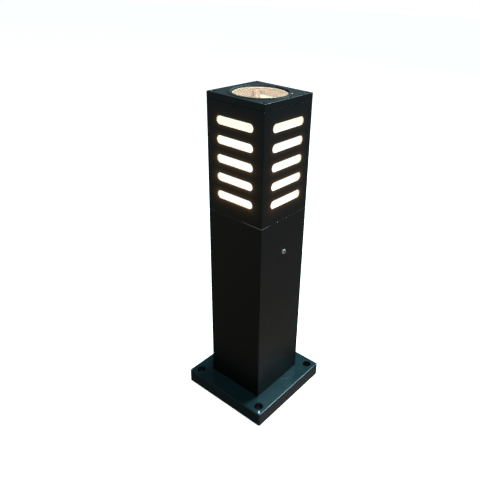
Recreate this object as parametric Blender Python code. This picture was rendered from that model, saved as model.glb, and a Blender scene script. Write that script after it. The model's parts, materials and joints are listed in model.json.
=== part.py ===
"""Bollard light: a louvred square head with a round top window, on a square post with a cast foot.

Sizes and places below are in millimetres, +Z up, and build_mesh() turns them into metres. The origin
is the middle of the foot's underside. The +X side of the post carries the lock screw that holds the
head. Each body that moves hangs from an empty of its own, which stands on its joint's axis.
"""

import math

import bmesh
import bpy
from mathutils import Matrix

MM = 0.001
GAP = 0.3  # clearance between neighbouring pieces that touch on the real object
OVER = 1.0  # how far a cutter runs past the face that it leaves

# Driving dimensions
TOTAL_HEIGHT = 500.0
POST_SIDE = 101.0
WALL = 3.5
JOINT_Z = 329.0  # the seam between post and head
SEAM = 0.6
CAP_THICK = 9.0
LAMP_TOP_Z = 438.0

# Foot
BASE_SIDE = 158.0
BASE_HEIGHT = 23.0
BASE_TOP_WALL = 6.0
BASE_SKIRT = 6.0
BASE_CORNER = 3.0
BASE_FILLET = 1.5
ANCHOR_AT = 65.0
ANCHOR_RADIUS = 7.0

# Square extrusion shared by the post and the head
HALF = POST_SIDE / 2
INNER = HALF - WALL
OUTER_CORNER = 0.5
PORT_AT = 44.0  # screw ports in the four corners
PORT_BOSS = 4.4
PORT_RADIUS = 2.3
PORT_SLOT = 0.9
LIP_LOW, LIP_HIGH = 42.0, 43.3  # lips that hold the diffuser panels against the walls
LIP_TIP = 36.8

# Post and lock screw
TUBE_Z = (BASE_HEIGHT + GAP, JOINT_Z - SEAM / 2)
LOCK_Y, LOCK_Z = 0.0, 274.0
LOCK_THREAD = 2.0

# Cable gland and earth bolt
GLAND_THREAD = 10.0
GLAND_FLATS = 24.0
GLAND_BORE = 6.5
SEAL_RADIUS = 5.0
GLAND_FLANGE_Z = (BASE_HEIGHT + GAP, 29.0)
EARTH_AT = (-25.0, -20.0)
EARTH_THREAD = 3.0
LUG_BARREL_Y = EARTH_AT[1] - 11.0

# Gear tray, terminal block and wires
TRAY_BACK = 20.0
TRAY_THICK = 2.0
TRAY_HALF = 25.0
SHELF_Z = 296.0
TRAY_SCREW = (2.5, 4.4)  # thread and head radius
TRAY_SCREW_X = (-15.0, 15.0)
TRAY_SCREW_Y = 34.0
BLOCK_Z = (120.0, 142.0)
BLOCK_Y = (2.0, TRAY_BACK - GAP)
BLOCK_HALF = 21.0
BLOCK_SCREW_X = (-17.5, 17.5)
POLES_X = (-10.0, 0.0, 10.0)
POLE_Y = 11.0
BARREL_OUT, BARREL_IN = 3.0, 1.9
WIRE_RADIUS = 1.4
WIRE_SPACING = 7.0
GROMMET_NECK = 7.2
GROMMET_BORE = 6.2

# Lamp holder and lamp
HOLDER_SCREW_X = (-15.5, 15.5)
HOLDER_Z = (SHELF_Z + TRAY_THICK + GAP, 348.0)
HOLDER_RADIUS = 20.0
HOLDER_FLOOR = (309.0, 317.0)
HOLDER_WELL = 14.8
LAMP_TIP_Z = 327.7
LAMP_CAP_TOP_Z = 352.0
GLOBE_RADIUS = 30.0
GLOBE_RIM_Z = 392.0

# Head
HOUSING_Z = (JOINT_Z + SEAM / 2, 489.3)
SPIGOT_Z = (249.0, 332.0, 335.0)  # sleeve's foot, plate's underside, plate's top
SEAT_HALF = 47.8
SLOT_COUNT = 5
SLOT_TOP_Z = 465.0
SLOT_PITCH = 26.7
SLOT_LENGTH = 65.0
SLOT_HEIGHT = 12.0
PANEL_HALF = 39.2
PANEL_Y = (43.65, 46.65)
PANEL_TOPS = {"back": 480.5, "left": 476.0, "front": 476.0, "right": 476.0}

# Cap and window
BEZEL_TOP_Z = TOTAL_HEIGHT
CAP_Z = (BEZEL_TOP_Z - 0.6 - CAP_THICK, BEZEL_TOP_Z - 0.6)
CAP_HALF = 50.6
WINDOW_RADIUS = 37.6
WELL_RADIUS = 40.6
RECESS_RADIUS = 45.0
LEDGE_Z = CAP_Z[0] + 2.5
RECESS_Z = CAP_Z[1] - 1.1
BEZEL_SCREW = (1.25, 2.3)  # thread and head radius
BEZEL_SCREW_AT = (36.0, 20.9)
CAP_HEAD = 3.0
CAP_HEAD_SINK = 0.8

# How many sides a round piece has
FINE, ROUND, LAMP_SIDES, SMALL = 36, 24, 16, 12

CORNERS = ((1, 1), (-1, 1), (-1, -1), (1, -1))

# Finish: colour, metallic, roughness
FINISHES = {
    "black_powder_coat": ((0.012, 0.014, 0.016), 0.0, 0.38),
    "zinc_plated_steel": ((0.55, 0.56, 0.58), 1.0, 0.35),
    "stainless_steel": ((0.62, 0.62, 0.60), 1.0, 0.28),
    "black_steel": ((0.02, 0.02, 0.022), 0.6, 0.40),
    "brass": ((0.72, 0.52, 0.22), 1.0, 0.30),
    "nickel_plated_brass": ((0.66, 0.62, 0.55), 1.0, 0.25),
    "galvanised_steel": ((0.50, 0.52, 0.54), 1.0, 0.45),
    "porcelain": ((0.86, 0.85, 0.80), 0.0, 0.20),
    "opal_acrylic": ((0.95, 0.92, 0.84), 0.0, 0.35),
    "opal_polycarbonate": ((0.96, 0.94, 0.88), 0.0, 0.40),
    "white_plastic": ((0.82, 0.82, 0.80), 0.0, 0.42),
    "grey_nylon": ((0.30, 0.31, 0.32), 0.0, 0.55),
    "black_rubber": ((0.015, 0.015, 0.015), 0.0, 0.75),
    "clear_glass": ((0.85, 0.90, 0.88), 0.0, 0.05),
    "brown_insulation": ((0.18, 0.08, 0.03), 0.0, 0.50),
    "blue_insulation": ((0.04, 0.10, 0.40), 0.0, 0.50),
    "green_insulation": ((0.15, 0.40, 0.06), 0.0, 0.50),
}


# ---- outlines, lists of (x, y) going round -----------------------------------------------------


def arc(radius, first, last, steps, centre=(0.0, 0.0)):
    """Points from the first to the last angle, in degrees."""
    angles = [math.radians(first + (last - first) * k / steps) for k in range(steps + 1)]
    return [(centre[0] + radius * math.cos(a), centre[1] + radius * math.sin(a)) for a in angles]


def circle(radius, sides, centre=(0.0, 0.0)):
    return arc(radius, 0.0, 360.0, sides, centre)[:-1]


def hexagon(across_flats, sides):
    """A hexagon with as many points as a circle of that many sides, a multiple of 12."""
    points = []
    for k in range(sides):
        angle = 360.0 * k / sides
        off_flat = (angle + 30.0) % 60.0 - 30.0
        reach = across_flats / 2 / math.cos(math.radians(off_flat))
        points.append((reach * math.cos(math.radians(angle)), reach * math.sin(math.radians(angle))))
    return points


def rounded_square(half, radius, steps=2):
    points = []
    for quarter, (sx, sy) in enumerate(CORNERS):
        centre = (sx * (half - radius), sy * (half - radius))
        points += arc(radius, 90.0 * quarter, 90.0 * quarter + 90.0, steps, centre)
    return points


def rectangle(x0, x1, y0, y1):
    return [(x0, y0), (x1, y0), (x1, y1), (x0, y1)]


def octagon(flat, diagonal):
    """A square of that half side, its corners cut where |x| + |y| reaches the diagonal."""
    short = diagonal - flat
    quarter = [(flat, -short), (flat, short)]
    return [turned_by(point, k) for k in range(4) for point in quarter]


def turned_by(point, quarters):
    x, y = point
    for _ in range(quarters % 4):
        x, y = -y, x
    return (x, y)


def stadium(length, height, steps=5):
    reach = (length - height) / 2
    right = arc(height / 2, -90.0, 90.0, steps, (reach, 0.0))
    left = arc(height / 2, 90.0, 270.0, steps, (-reach, 0.0))
    return right + left


def port_half():
    """Half of one corner of the extrusion's inner outline, from the wall to the port's far side."""
    centre = (PORT_AT, PORT_AT)
    wall = 180.0 - math.degrees(math.asin((INNER - PORT_AT) / PORT_BOSS))
    lip_top = 180.0 + math.degrees(math.asin((PORT_AT - LIP_HIGH) / PORT_BOSS))
    lip_bottom = 180.0 + math.degrees(math.asin((PORT_AT - LIP_LOW) / PORT_BOSS))
    slot_out = 225.0 - math.degrees(math.asin(PORT_SLOT / PORT_BOSS))
    slot_in = 225.0 - math.degrees(math.asin(PORT_SLOT / PORT_RADIUS))
    points = arc(PORT_BOSS, wall, lip_top, 2, centre)
    points += [(LIP_TIP, LIP_HIGH), (LIP_TIP, LIP_LOW)]
    points += arc(PORT_BOSS, lip_bottom, slot_out, 1, centre)
    points += arc(PORT_RADIUS, slot_in, 45.0, 4, centre)
    return points


def extrusion_inner():
    half = port_half()
    corner = half + [(y, x) for x, y in reversed(half[:-1])]
    return [turned_by(point, -quarter) for quarter in range(4) for point in corner]


# ---- meshes ------------------------------------------------------------------------------------


def build_mesh(name, points, faces):
    """A mesh in metres whose faces point out."""
    mesh = bpy.data.meshes.new(name)
    mesh.from_pydata([(x * MM, y * MM, z * MM) for x, y, z in points], [], faces)
    work = bmesh.new()
    work.from_mesh(mesh)
    bmesh.ops.recalc_face_normals(work, faces=work.faces)
    work.to_mesh(mesh)
    work.free()
    mesh.shade_smooth()
    mesh.set_sharp_from_angle(angle=math.radians(35))
    return mesh


def stack(name, rings, through=False):
    """Rings of equal count joined in turn. The ends are capped, or joined to each other."""
    count = len(rings[0][0])
    points = [(x, y, z) for outline, z in rings for x, y in outline]
    faces = []
    for level in range(len(rings) if through else len(rings) - 1):
        low, high = level * count, (level + 1) % len(rings) * count
        for k in range(count):
            after = (k + 1) % count
            faces.append((low + k, low + after, high + after, high + k))
    if not through:
        faces.append(tuple(reversed(range(count))))
        faces.append(tuple(range((len(rings) - 1) * count, len(rings) * count)))
    return build_mesh(name, points, faces)


def turned(name, profile, sides, through=False):
    """A lathe shape about Z from (radius, z) points."""
    return stack(name, [(circle(radius, sides), z) for radius, z in profile], through)


def plate(name, outlines, z0, z1):
    """The area inside the first outline and outside the others, from z0 up to z1."""
    work = bmesh.new()
    for outline in outlines:
        verts = [work.verts.new((x, y, z0)) for x, y in outline]
        for k, vert in enumerate(verts):
            work.edges.new((vert, verts[(k + 1) % len(verts)]))
    bmesh.ops.triangle_fill(work, edges=work.edges, use_beauty=True)
    bottom = list(work.faces)
    grown = bmesh.ops.extrude_face_region(work, geom=bottom, use_keep_orig=True)["geom"]
    for vert in (item for item in grown if isinstance(item, bmesh.types.BMVert)):
        vert.co.z = z1
    points = [tuple(vert.co) for vert in work.verts]
    work.verts.index_update()
    faces = [tuple(vert.index for vert in face.verts) for face in work.faces]
    work.free()
    return build_mesh(name, points, faces)


def block(name, low, high):
    outline = rectangle(low[0], high[0], low[1], high[1])
    return stack(name, [(outline, low[2]), (outline, high[2])])


def drill(name, radius, place, axis, sides=SMALL, reach=4.0):
    """A round cutter that starts a little before a point and runs on along Y or Z."""
    mesh = turned(name, [(radius, -reach), (radius, reach + TRAY_THICK)], sides)
    turn = Matrix.Rotation(math.radians(-90 if axis == "Y" else 0), 4, "X")
    return moved(mesh, at(*place) @ turn)


def screw(name, head, length, shank, socket, height=0.0, sides=SMALL):
    """A socket screw that points down. A head of some height seats at z = 0, and one of no height is
    countersunk with its flat at z = 0."""
    tip = [(circle(0.7 * shank, sides), -length), (circle(shank, sides), -length + 0.3 * shank)]
    if height:
        body = [(circle(shank, sides), 0.0), (circle(head, sides), 0.0)]
        body += [(circle(head, sides), 0.45 * height), (circle(0.8 * head, sides), height)]
        depth = 0.7 * height
    else:
        body = [(circle(shank, sides), shank - head), (circle(head, sides), 0.0)]
        depth = 0.8 * (head - shank)
    drive = [(hexagon(socket, sides), height), (hexagon(socket, sides), height - depth)]
    return stack(name, tip + body + drive)


def merged(name, meshes):
    """Several closed shapes in one mesh, for use as a cutter."""
    points, faces = [], []
    for mesh in meshes:
        start = len(points)
        points += [tuple(c / MM for c in vert.co) for vert in mesh.vertices]
        faces += [tuple(start + index for index in face.vertices) for face in mesh.polygons]
    return build_mesh(name, points, faces)


def moved(mesh, matrix):
    mesh.transform(matrix)
    return mesh


def at(x, y, z):
    return Matrix.Translation((x * MM, y * MM, z * MM))


# ---- objects -----------------------------------------------------------------------------------


def material(finish):
    found = bpy.data.materials.get(finish)
    if found:
        return found
    colour, metallic, roughness = FINISHES[finish]
    made = bpy.data.materials.new(finish)
    made.use_nodes = True
    shader = made.node_tree.nodes["Principled BSDF"]
    shader.inputs["Base Color"].default_value = (*colour, 1.0)
    shader.inputs["Metallic"].default_value = metallic
    shader.inputs["Roughness"].default_value = roughness
    made.diffuse_color = (*colour, 1.0)
    return made


def add(mesh, finish, body, place=(0.0, 0.0, 0.0), turn=(0.0, 0.0, 0.0)):
    """Puts a mesh in the scene as the sub-part of its name, on a body's empty."""
    mesh.materials.append(material(finish))
    obj = bpy.data.objects.new(mesh.name, mesh)
    obj.location = [c * MM for c in place]
    obj.rotation_euler = [math.radians(a) for a in turn]
    obj.parent = body
    obj.matrix_parent_inverse = Matrix.Translation(body.location).inverted()
    bpy.context.scene.collection.objects.link(obj)
    return obj


def helper(mesh):
    obj = bpy.data.objects.new(mesh.name, mesh)
    obj.hide_render = True
    obj.display_type = "WIRE"
    bpy.context.scene.collection.objects.link(obj)
    return obj


def combine(obj, operation, *meshes):
    """Adds the shapes to the object, or takes them out of it, with one Boolean each."""
    for mesh in meshes:
        modifier = obj.modifiers.new(mesh.name, "BOOLEAN")
        modifier.operation = operation
        modifier.solver = "EXACT"
        modifier.object = helper(mesh)


def body_empty(name, place=(0.0, 0.0, 0.0)):
    empty = bpy.data.objects.new(name, None)
    empty.location = [c * MM for c in place]
    bpy.context.scene.collection.objects.link(empty)
    return empty


# ---- foot --------------------------------------------------------------------------------------


def base_casting(body):
    """A cast dish, open below, with a boss at each anchor hole and four ribs."""
    half = BASE_SIDE / 2
    inner = rounded_square(half - BASE_SKIRT, BASE_CORNER)
    ceiling = BASE_HEIGHT - BASE_TOP_WALL
    rings = [(inner, ceiling), (inner, 0.0), (rounded_square(half, BASE_CORNER), 0.0)]
    for angle in (0.0, 30.0, 60.0, 90.0):
        inset = BASE_FILLET * (1 - math.cos(math.radians(angle)))
        drop = BASE_FILLET * (1 - math.sin(math.radians(angle)))
        outline = rounded_square(half - inset, BASE_CORNER - inset * 0.6)
        rings.append((outline, BASE_HEIGHT - drop))
    foot = add(stack("base_casting", rings), "black_powder_coat", body)

    boss_inner, boss_outer = ANCHOR_AT - 13.0, half - BASE_SKIRT / 2
    boss_z = (0.5, ceiling + OVER)
    additions = []
    for index, (sx, sy) in enumerate(CORNERS):
        xs, ys = sorted((sx * boss_inner, sx * boss_outer)), sorted((sy * boss_inner, sy * boss_outer))
        low, high = (xs[0], ys[0], boss_z[0]), (xs[1], ys[1], boss_z[1])
        additions.append(block(f"boss_{index}", low, high))
    rib_near, rib_far, rib_half, rib_z = 24.0, half - BASE_SKIRT / 2, 2.0, 6.0
    for quarter in range(4):
        rib = block(f"rib_{quarter}", (rib_near, -rib_half, rib_z), (rib_far, rib_half, ceiling + OVER))
        additions.append(moved(rib, Matrix.Rotation(math.radians(90.0 * quarter), 4, "Z")))
    combine(foot, "UNION", *additions)
    combine(foot, "DIFFERENCE", merged("base_holes", base_holes()))


def base_holes():
    holes = []
    spots = [(ANCHOR_RADIUS, ROUND, sx * ANCHOR_AT, sy * ANCHOR_AT) for sx, sy in CORNERS]
    spots += [(PORT_RADIUS + 0.1, SMALL, sx * PORT_AT, sy * PORT_AT) for sx, sy in CORNERS]
    spots += [(TRAY_SCREW[0] + GAP, SMALL, x, TRAY_SCREW_Y) for x in TRAY_SCREW_X]
    spots.append((GLAND_THREAD + GAP, ROUND, 0.0, 0.0))
    spots.append((EARTH_THREAD + GAP, SMALL, *EARTH_AT))
    for index, (radius, sides, x, y) in enumerate(spots):
        hole = turned(f"base_hole_{index}", [(radius, -OVER), (radius, BASE_HEIGHT + OVER)], sides)
        holes.append(moved(hole, at(x, y, 0.0)))
    return holes


def base_screws(body):
    """Four screws from below, through the foot and into the post's ports."""
    seat = BASE_HEIGHT - BASE_TOP_WALL - GAP
    for index, (sx, sy) in enumerate(CORNERS, 1):
        mesh = screw(f"base_screw_{index}", 3.8, 18.0, 2.0, 3.0, height=2.6)
        place = (sx * PORT_AT, sy * PORT_AT, seat)
        add(mesh, "zinc_plated_steel", body, place, (180.0, 0.0, 0.0))


# ---- post --------------------------------------------------------------------------------------


def post_tube(body):
    outlines = [rounded_square(HALF, OUTER_CORNER), extrusion_inner()]
    tube = add(plate("post_tube", outlines, *TUBE_Z), "black_powder_coat", body)
    hole = turned("lock_hole", [(LOCK_THREAD + GAP, -3 * OVER), (LOCK_THREAD + GAP, 3 * OVER)], ROUND)
    across = Matrix.Rotation(math.radians(90), 4, "Y")
    combine(tube, "DIFFERENCE", moved(hole, at(HALF - WALL / 2, LOCK_Y, LOCK_Z) @ across))


def lock_screw(body):
    """A button-head screw in the post's wall, whose tip bears on the head's spigot."""
    mesh = screw("lock_screw", 3.8, 4.1, LOCK_THREAD, 2.5, height=2.2, sides=ROUND)
    add(mesh, "stainless_steel", body, (HALF + GAP, LOCK_Y, LOCK_Z), (0.0, 90.0, 0.0))


# ---- cable gland and earth bolt ----------------------------------------------------------------


def gland_body(body):
    flange_low, flange_high = GLAND_FLANGE_Z
    thread_top, neck = 40.0, 9.0
    bore, seat_radius, seat_z = GLAND_BORE, 7.2, 32.0
    rings = [
        (circle(GLAND_THREAD, ROUND), 9.0),
        (circle(GLAND_THREAD, ROUND), flange_low),
        (hexagon(GLAND_FLATS, ROUND), flange_low),
        (hexagon(GLAND_FLATS, ROUND), flange_high),
        (circle(neck, ROUND), flange_high),
        (circle(neck, ROUND), thread_top),
        (circle(seat_radius, ROUND), thread_top),
        (circle(seat_radius, ROUND), seat_z),
        (circle(bore, ROUND), seat_z),
        (circle(bore, ROUND), 9.0),
    ]
    add(stack("gland_body", rings, through=True), "grey_nylon", body)


def gland_dome_nut(body):
    low, shoulder, top = GLAND_FLANGE_Z[1] + GAP, 42.0, 47.0
    clear = 9.0 + GAP
    mouth = SEAL_RADIUS + 0.4
    rings = [
        (hexagon(GLAND_FLATS - 1, ROUND), low),
        (hexagon(GLAND_FLATS - 1, ROUND), shoulder - 4.0),
        (circle(10.6, ROUND), shoulder - 3.0),
        (circle(9.4, ROUND), top - 2.0),
        (circle(mouth + 1.4, ROUND), top),
        (circle(mouth, ROUND), top),
        (circle(mouth, ROUND), top - 2.0),
        (circle(clear - 1.4, ROUND), shoulder - 1.0),
        (circle(clear, ROUND), shoulder - 1.6),
        (circle(clear, ROUND), low),
    ]
    add(stack("gland_dome_nut", rings, through=True), "grey_nylon", body)


def gland_seal(body):
    low, high, outer = 32.0 + GAP, 40.6, 7.2 - GAP
    profile = [(outer, low), (outer, high - 1.0), (outer - 0.8, high), (SEAL_RADIUS, high)]
    profile.append((SEAL_RADIUS, low))
    add(turned("gland_seal", profile, ROUND, through=True), "black_rubber", body)


def nut(name, flats, bore, low, high, sides):
    chamfer = 0.5
    rings = [
        (circle(flats / 2, sides), low),
        (hexagon(flats, sides), low + chamfer),
        (hexagon(flats, sides), high - chamfer),
        (circle(flats / 2, sides), high),
        (circle(bore, sides), high),
        (circle(bore, sides), low),
    ]
    return stack(name, rings, through=True)


def gland_locknut(body):
    high = BASE_HEIGHT - BASE_TOP_WALL - GAP
    mesh = nut("gland_locknut", GLAND_FLATS, GLAND_THREAD + GAP, high - 5.0, high, ROUND)
    add(mesh, "grey_nylon", body)


def earth_bolt(body):
    """The bolt through the foot, with its washer, ring lug and nut above."""
    x, y = EARTH_AT
    seat = BASE_HEIGHT - BASE_TOP_WALL - GAP
    bore = EARTH_THREAD + GAP
    rings = [
        (hexagon(10.0, SMALL), seat - 4.0),
        (hexagon(10.0, SMALL), seat),
        (circle(EARTH_THREAD, SMALL), seat),
        (circle(EARTH_THREAD, SMALL), 35.0),
        (circle(EARTH_THREAD - 0.6, SMALL), 35.6),
    ]
    add(stack("earth_bolt", rings), "brass", body, (x, y, 0.0))
    low = BASE_HEIGHT + GAP
    profile = [(6.0, low), (6.0, low + 1.5), (bore, low + 1.5), (bore, low)]
    add(turned("earth_washer", profile, SMALL, through=True), "brass", body, (x, y, 0.0))
    add(nut("earth_nut", 10.0, bore, low + 3.0, low + 8.0, SMALL), "brass", body, (x, y, 0.0))


def earth_lug(body):
    """A ring on the bolt, and a barrel bent up to take the wire."""
    low = BASE_HEIGHT + GAP + 1.5 + GAP
    high = low + 0.9
    ring_radius, tongue_half, barrel_radius = 5.5, 2.6, 2.6
    reach = LUG_BARREL_Y - EARTH_AT[1]
    side = math.degrees(math.asin(tongue_half / ring_radius))
    outline = arc(ring_radius, -90.0 + side, 270.0 - side, 10)
    outline += arc(tongue_half, 180.0, 360.0, 4, (0.0, reach))
    tongue = plate("earth_lug", [outline, circle(EARTH_THREAD + GAP, SMALL)], low, high)
    lug = add(tongue, "nickel_plated_brass", body, (*EARTH_AT, 0.0))
    barrel_z = (low + 0.4, low + 10.0)
    profile = [(barrel_radius - 0.1, barrel_z[0]), (barrel_radius - 0.1, barrel_z[1])]
    profile += [(WIRE_RADIUS + 0.35, barrel_z[1]), (WIRE_RADIUS + 0.35, high + 0.6)]
    barrel = turned("lug_barrel", profile, SMALL)
    combine(lug, "UNION", moved(barrel, at(EARTH_AT[0], LUG_BARREL_Y, 0.0)))


# ---- gear tray, terminal block and wires -------------------------------------------------------


def gear_tray(body):
    """A bent strip: a foot on the casting, an upright, and a shelf for the lamp holder."""
    foot_y, shelf_y, low = 45.0, -24.0, BASE_HEIGHT + GAP
    back, front = TRAY_BACK + TRAY_THICK, TRAY_BACK
    side = [(front, low), (foot_y, low), (foot_y, low + TRAY_THICK), (back, low + TRAY_THICK)]
    side += [(back, SHELF_Z + TRAY_THICK), (shelf_y, SHELF_Z + TRAY_THICK), (shelf_y, SHELF_Z)]
    side.append((front, SHELF_Z))
    strip = stack("gear_tray", [(side, -TRAY_HALF), (side, TRAY_HALF)])
    upright = Matrix(((0, 0, 1, 0), (1, 0, 0, 0), (0, 1, 0, 0), (0, 0, 0, 1)))
    tray = add(moved(strip, upright), "galvanised_steel", body)

    holes = []
    for x in TRAY_SCREW_X:
        holes.append(drill(f"tray_hole_{x}", TRAY_SCREW[0] + GAP, (x, TRAY_SCREW_Y, low), "Z"))
    for x in HOLDER_SCREW_X:
        holes.append(drill(f"shelf_hole_{x}", 2.0 + GAP, (x, 0.0, SHELF_Z), "Z"))
    for x in BLOCK_SCREW_X:
        holes.append(drill(f"block_hole_{x}", 1.5 + GAP, (x, TRAY_BACK, sum(BLOCK_Z) / 2), "Y"))
    holes.append(drill("grommet_hole", GROMMET_NECK + GAP, (0.0, 0.0, SHELF_Z), "Z", ROUND))
    combine(tray, "DIFFERENCE", merged("tray_holes", holes))

    for index, x in enumerate(TRAY_SCREW_X, 1):
        mesh = screw(f"tray_screw_{index}", TRAY_SCREW[1], 9.0, TRAY_SCREW[0], 3.5, height=2.8)
        add(mesh, "zinc_plated_steel", body, (x, TRAY_SCREW_Y, low + TRAY_THICK + GAP))


def terminal_block(body):
    """A three-pole block: brass barrels in a nylon body, held to the tray by two screws."""
    low, high = BLOCK_Z
    middle = (low + high) / 2
    shape = block("terminal_block", (-BLOCK_HALF, BLOCK_Y[0], low), (BLOCK_HALF, BLOCK_Y[1], high))
    housing = add(shape, "white_plastic", body)
    cuts = []
    profile = [(BARREL_OUT + GAP, low - OVER), (BARREL_OUT + GAP, high + OVER)]
    for index, x in enumerate(POLES_X):
        cuts.append(moved(turned(f"pole_{index}", profile, SMALL), at(x, POLE_Y, 0.0)))
    for index, x in enumerate(BLOCK_SCREW_X):
        centre = (x, BLOCK_Y[0] - OVER, middle)
        cuts.append(drill(f"fixing_{index}", 1.5 + GAP, centre, "Y", reach=20.0))
    combine(housing, "DIFFERENCE", merged("block_holes", cuts))
    wells = []
    for index, x in enumerate(POLES_X):
        for side, z in (("low", low + 5.0), ("high", high - 5.0)):
            well = turned(f"well_{index}_{side}", [(1.8, -OVER), (1.8, POLE_Y - BLOCK_Y[0])], SMALL)
            turn = Matrix.Rotation(math.radians(-90), 4, "X")
            wells.append(moved(well, at(x, BLOCK_Y[0], z) @ turn))
    combine(housing, "DIFFERENCE", merged("block_wells", wells))

    for index, x in enumerate(POLES_X, 1):
        profile = [(BARREL_OUT, low + 1.0), (BARREL_OUT, high - 1.0)]
        profile += [(BARREL_IN, high - 1.0), (BARREL_IN, low + 1.0)]
        mesh = turned(f"terminal_barrel_{index}", profile, SMALL, through=True)
        add(mesh, "brass", body, (x, POLE_Y, 0.0))
    for index, x in enumerate(BLOCK_SCREW_X, 1):
        mesh = screw(f"terminal_screw_{index}", 2.8, 21.5, 1.5, 2.0, height=1.9)
        add(mesh, "zinc_plated_steel", body, (x, BLOCK_Y[0] - GAP, middle), (90.0, 0.0, 0.0))


def shelf_grommet(body):
    low, high, flange = SHELF_Z, SHELF_Z + TRAY_THICK, 9.6
    profile = [(GROMMET_BORE, low - 1.8), (flange, low - 1.8), (flange, low - GAP)]
    profile += [(GROMMET_NECK, low - GAP), (GROMMET_NECK, high + GAP), (flange, high + GAP)]
    profile += [(flange, high + 1.8), (GROMMET_BORE, high + 1.8)]
    add(turned("shelf_grommet", profile, ROUND, through=True), "black_rubber", body)


def smooth_route(points, spacing):
    """Points at an even spacing along a Catmull-Rom curve through a route's own points."""
    ends = [points[0]] + list(points) + [points[-1]]
    dense = []
    for k in range(len(points) - 1):
        a, b, c, d = ends[k : k + 4]
        for step in range(20):
            t = step / 20
            middle = 2 - 5 * t**2 + 3 * t**3, t + 4 * t**2 - 3 * t**3
            weights = (-t + 2 * t**2 - t**3, *middle, t**3 - t**2)
            dense.append([sum(w * p[i] for w, p in zip(weights, (a, b, c, d))) / 2 for i in range(3)])
    dense.append(list(points[-1]))
    lengths = [0.0]
    for before, after in zip(dense, dense[1:]):
        lengths.append(lengths[-1] + math.dist(before, after))
    count = max(2, round(lengths[-1] / spacing))
    route, k = [], 0
    for step in range(count + 1):
        wanted = lengths[-1] * step / count
        while k < len(dense) - 2 and lengths[k + 1] < wanted:
            k += 1
        part = (wanted - lengths[k]) / (lengths[k + 1] - lengths[k])
        route.append([dense[k][i] + part * (dense[k + 1][i] - dense[k][i]) for i in range(3)])
    return route


def wire(name, finish, body, points):
    """A single insulated wire, as a poly curve with a round bevel and filled caps."""
    route = smooth_route(points, WIRE_SPACING)
    curve = bpy.data.curves.new(name, "CURVE")
    curve.dimensions = "3D"
    curve.bevel_depth = WIRE_RADIUS * MM
    curve.bevel_resolution = 2
    curve.use_fill_caps = True
    spline = curve.splines.new("POLY")
    spline.points.add(len(route) - 1)
    for point, (x, y, z) in zip(spline.points, route):
        point.co = (x * MM, y * MM, z * MM, 1.0)
    add(curve, finish, body)


def wires(body):
    entry, top = BLOCK_Z[1] - 9.0, BLOCK_Z[1]
    shelf, end = SHELF_Z, SHELF_Z + 11.0
    live_x, neutral_x, earth_x = POLES_X[2], POLES_X[1], POLES_X[0]
    live = [(live_x, POLE_Y, entry), (live_x, POLE_Y, top), (live_x, POLE_Y, top + 12.0)]
    live += [(9.0, 9.5, 180.0), (8.0, 5.0, 220.0), (4.4, 1.0, 260.0)]
    live += [(3.2, 0.0, shelf - 10.0), (3.2, 0.0, shelf + 2.0), (3.2, 0.0, end)]
    neutral = [(neutral_x, POLE_Y, entry), (neutral_x, POLE_Y, top), (neutral_x, POLE_Y, top + 12.0)]
    neutral += [(-1.5, 8.5, 180.0), (-4.0, 4.5, 220.0), (-4.2, 1.0, 260.0)]
    neutral += [(-3.2, 0.0, shelf - 10.0), (-3.2, 0.0, shelf + 2.0), (-3.2, 0.0, end)]
    lug_x, lug_z = EARTH_AT[0], BASE_HEIGHT + 6.0
    earth = [(earth_x, POLE_Y, entry), (earth_x, POLE_Y, top), (earth_x - 0.5, POLE_Y - 0.5, top + 9.0)]
    earth += [(-14.0, 6.5, top + 21.0), (-21.0, -0.5, top + 24.0), (-27.0, -8.0, top + 16.0)]
    earth += [(-30.0, -15.0, top - 6.0), (-31.0, -22.0, 105.0), (-29.0, -28.0, 75.0)]
    earth += [(-26.0, LUG_BARREL_Y, 52.0), (lug_x, LUG_BARREL_Y, 40.0), (lug_x, LUG_BARREL_Y, lug_z)]
    wire("wire_live", "brown_insulation", body, live)
    wire("wire_neutral", "blue_insulation", body, neutral)
    wire("wire_earth", "green_insulation", body, earth)


# ---- lamp holder and lamp ----------------------------------------------------------------------


def lamp_holder(body):
    """A porcelain screw-in holder with its brass shell and centre contact."""
    low, high = HOLDER_Z
    floor_low, floor_high = HOLDER_FLOOR
    cavity, rivet = 10.2, 2.3
    profile = [(rivet, floor_high), (HOLDER_WELL, floor_high), (HOLDER_WELL, high), (18.0, high)]
    profile += [(HOLDER_RADIUS, high - 3.0), (HOLDER_RADIUS, low + 1.0), (HOLDER_RADIUS - 1.0, low)]
    profile += [(cavity, low), (cavity, floor_low), (rivet, floor_low)]
    holder = add(turned("lamp_holder", profile, ROUND, through=True), "porcelain", body)
    holes = []
    for x in HOLDER_SCREW_X:
        hole = turned(f"holder_hole_{x}", [(2.0 + GAP, low - OVER), (2.0 + GAP, low + 10.0)], SMALL)
        holes.append(moved(hole, at(x, 0.0, 0.0)))
    combine(holder, "DIFFERENCE", merged("holder_holes", holes))

    outer, inner = HOLDER_WELL - 0.4, HOLDER_WELL - 1.0
    seat = floor_high + GAP
    profile = [(9.0, seat), (outer, seat), (outer, high - 4.0), (inner, high - 4.0)]
    profile += [(inner, seat + 0.6), (9.0, seat + 0.6)]
    add(turned("holder_shell", profile, ROUND, through=True), "brass", body)
    profile = [(2.0, floor_low - 1.0), (2.0, seat), (5.0, seat), (5.0, seat + 1.0)]
    profile += [(3.0, seat + 2.0), (3.0, LAMP_TIP_Z - GAP - 1.0), (2.0, LAMP_TIP_Z - GAP)]
    add(turned("holder_contact", profile, SMALL), "brass", body)
    for index, x in enumerate(HOLDER_SCREW_X, 1):
        mesh = screw(f"holder_screw_{index}", 3.5, 10.5, 2.0, 3.0, height=2.4)
        add(mesh, "zinc_plated_steel", body, (x, 0.0, SHELF_Z - GAP), (180.0, 0.0, 0.0))


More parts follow.
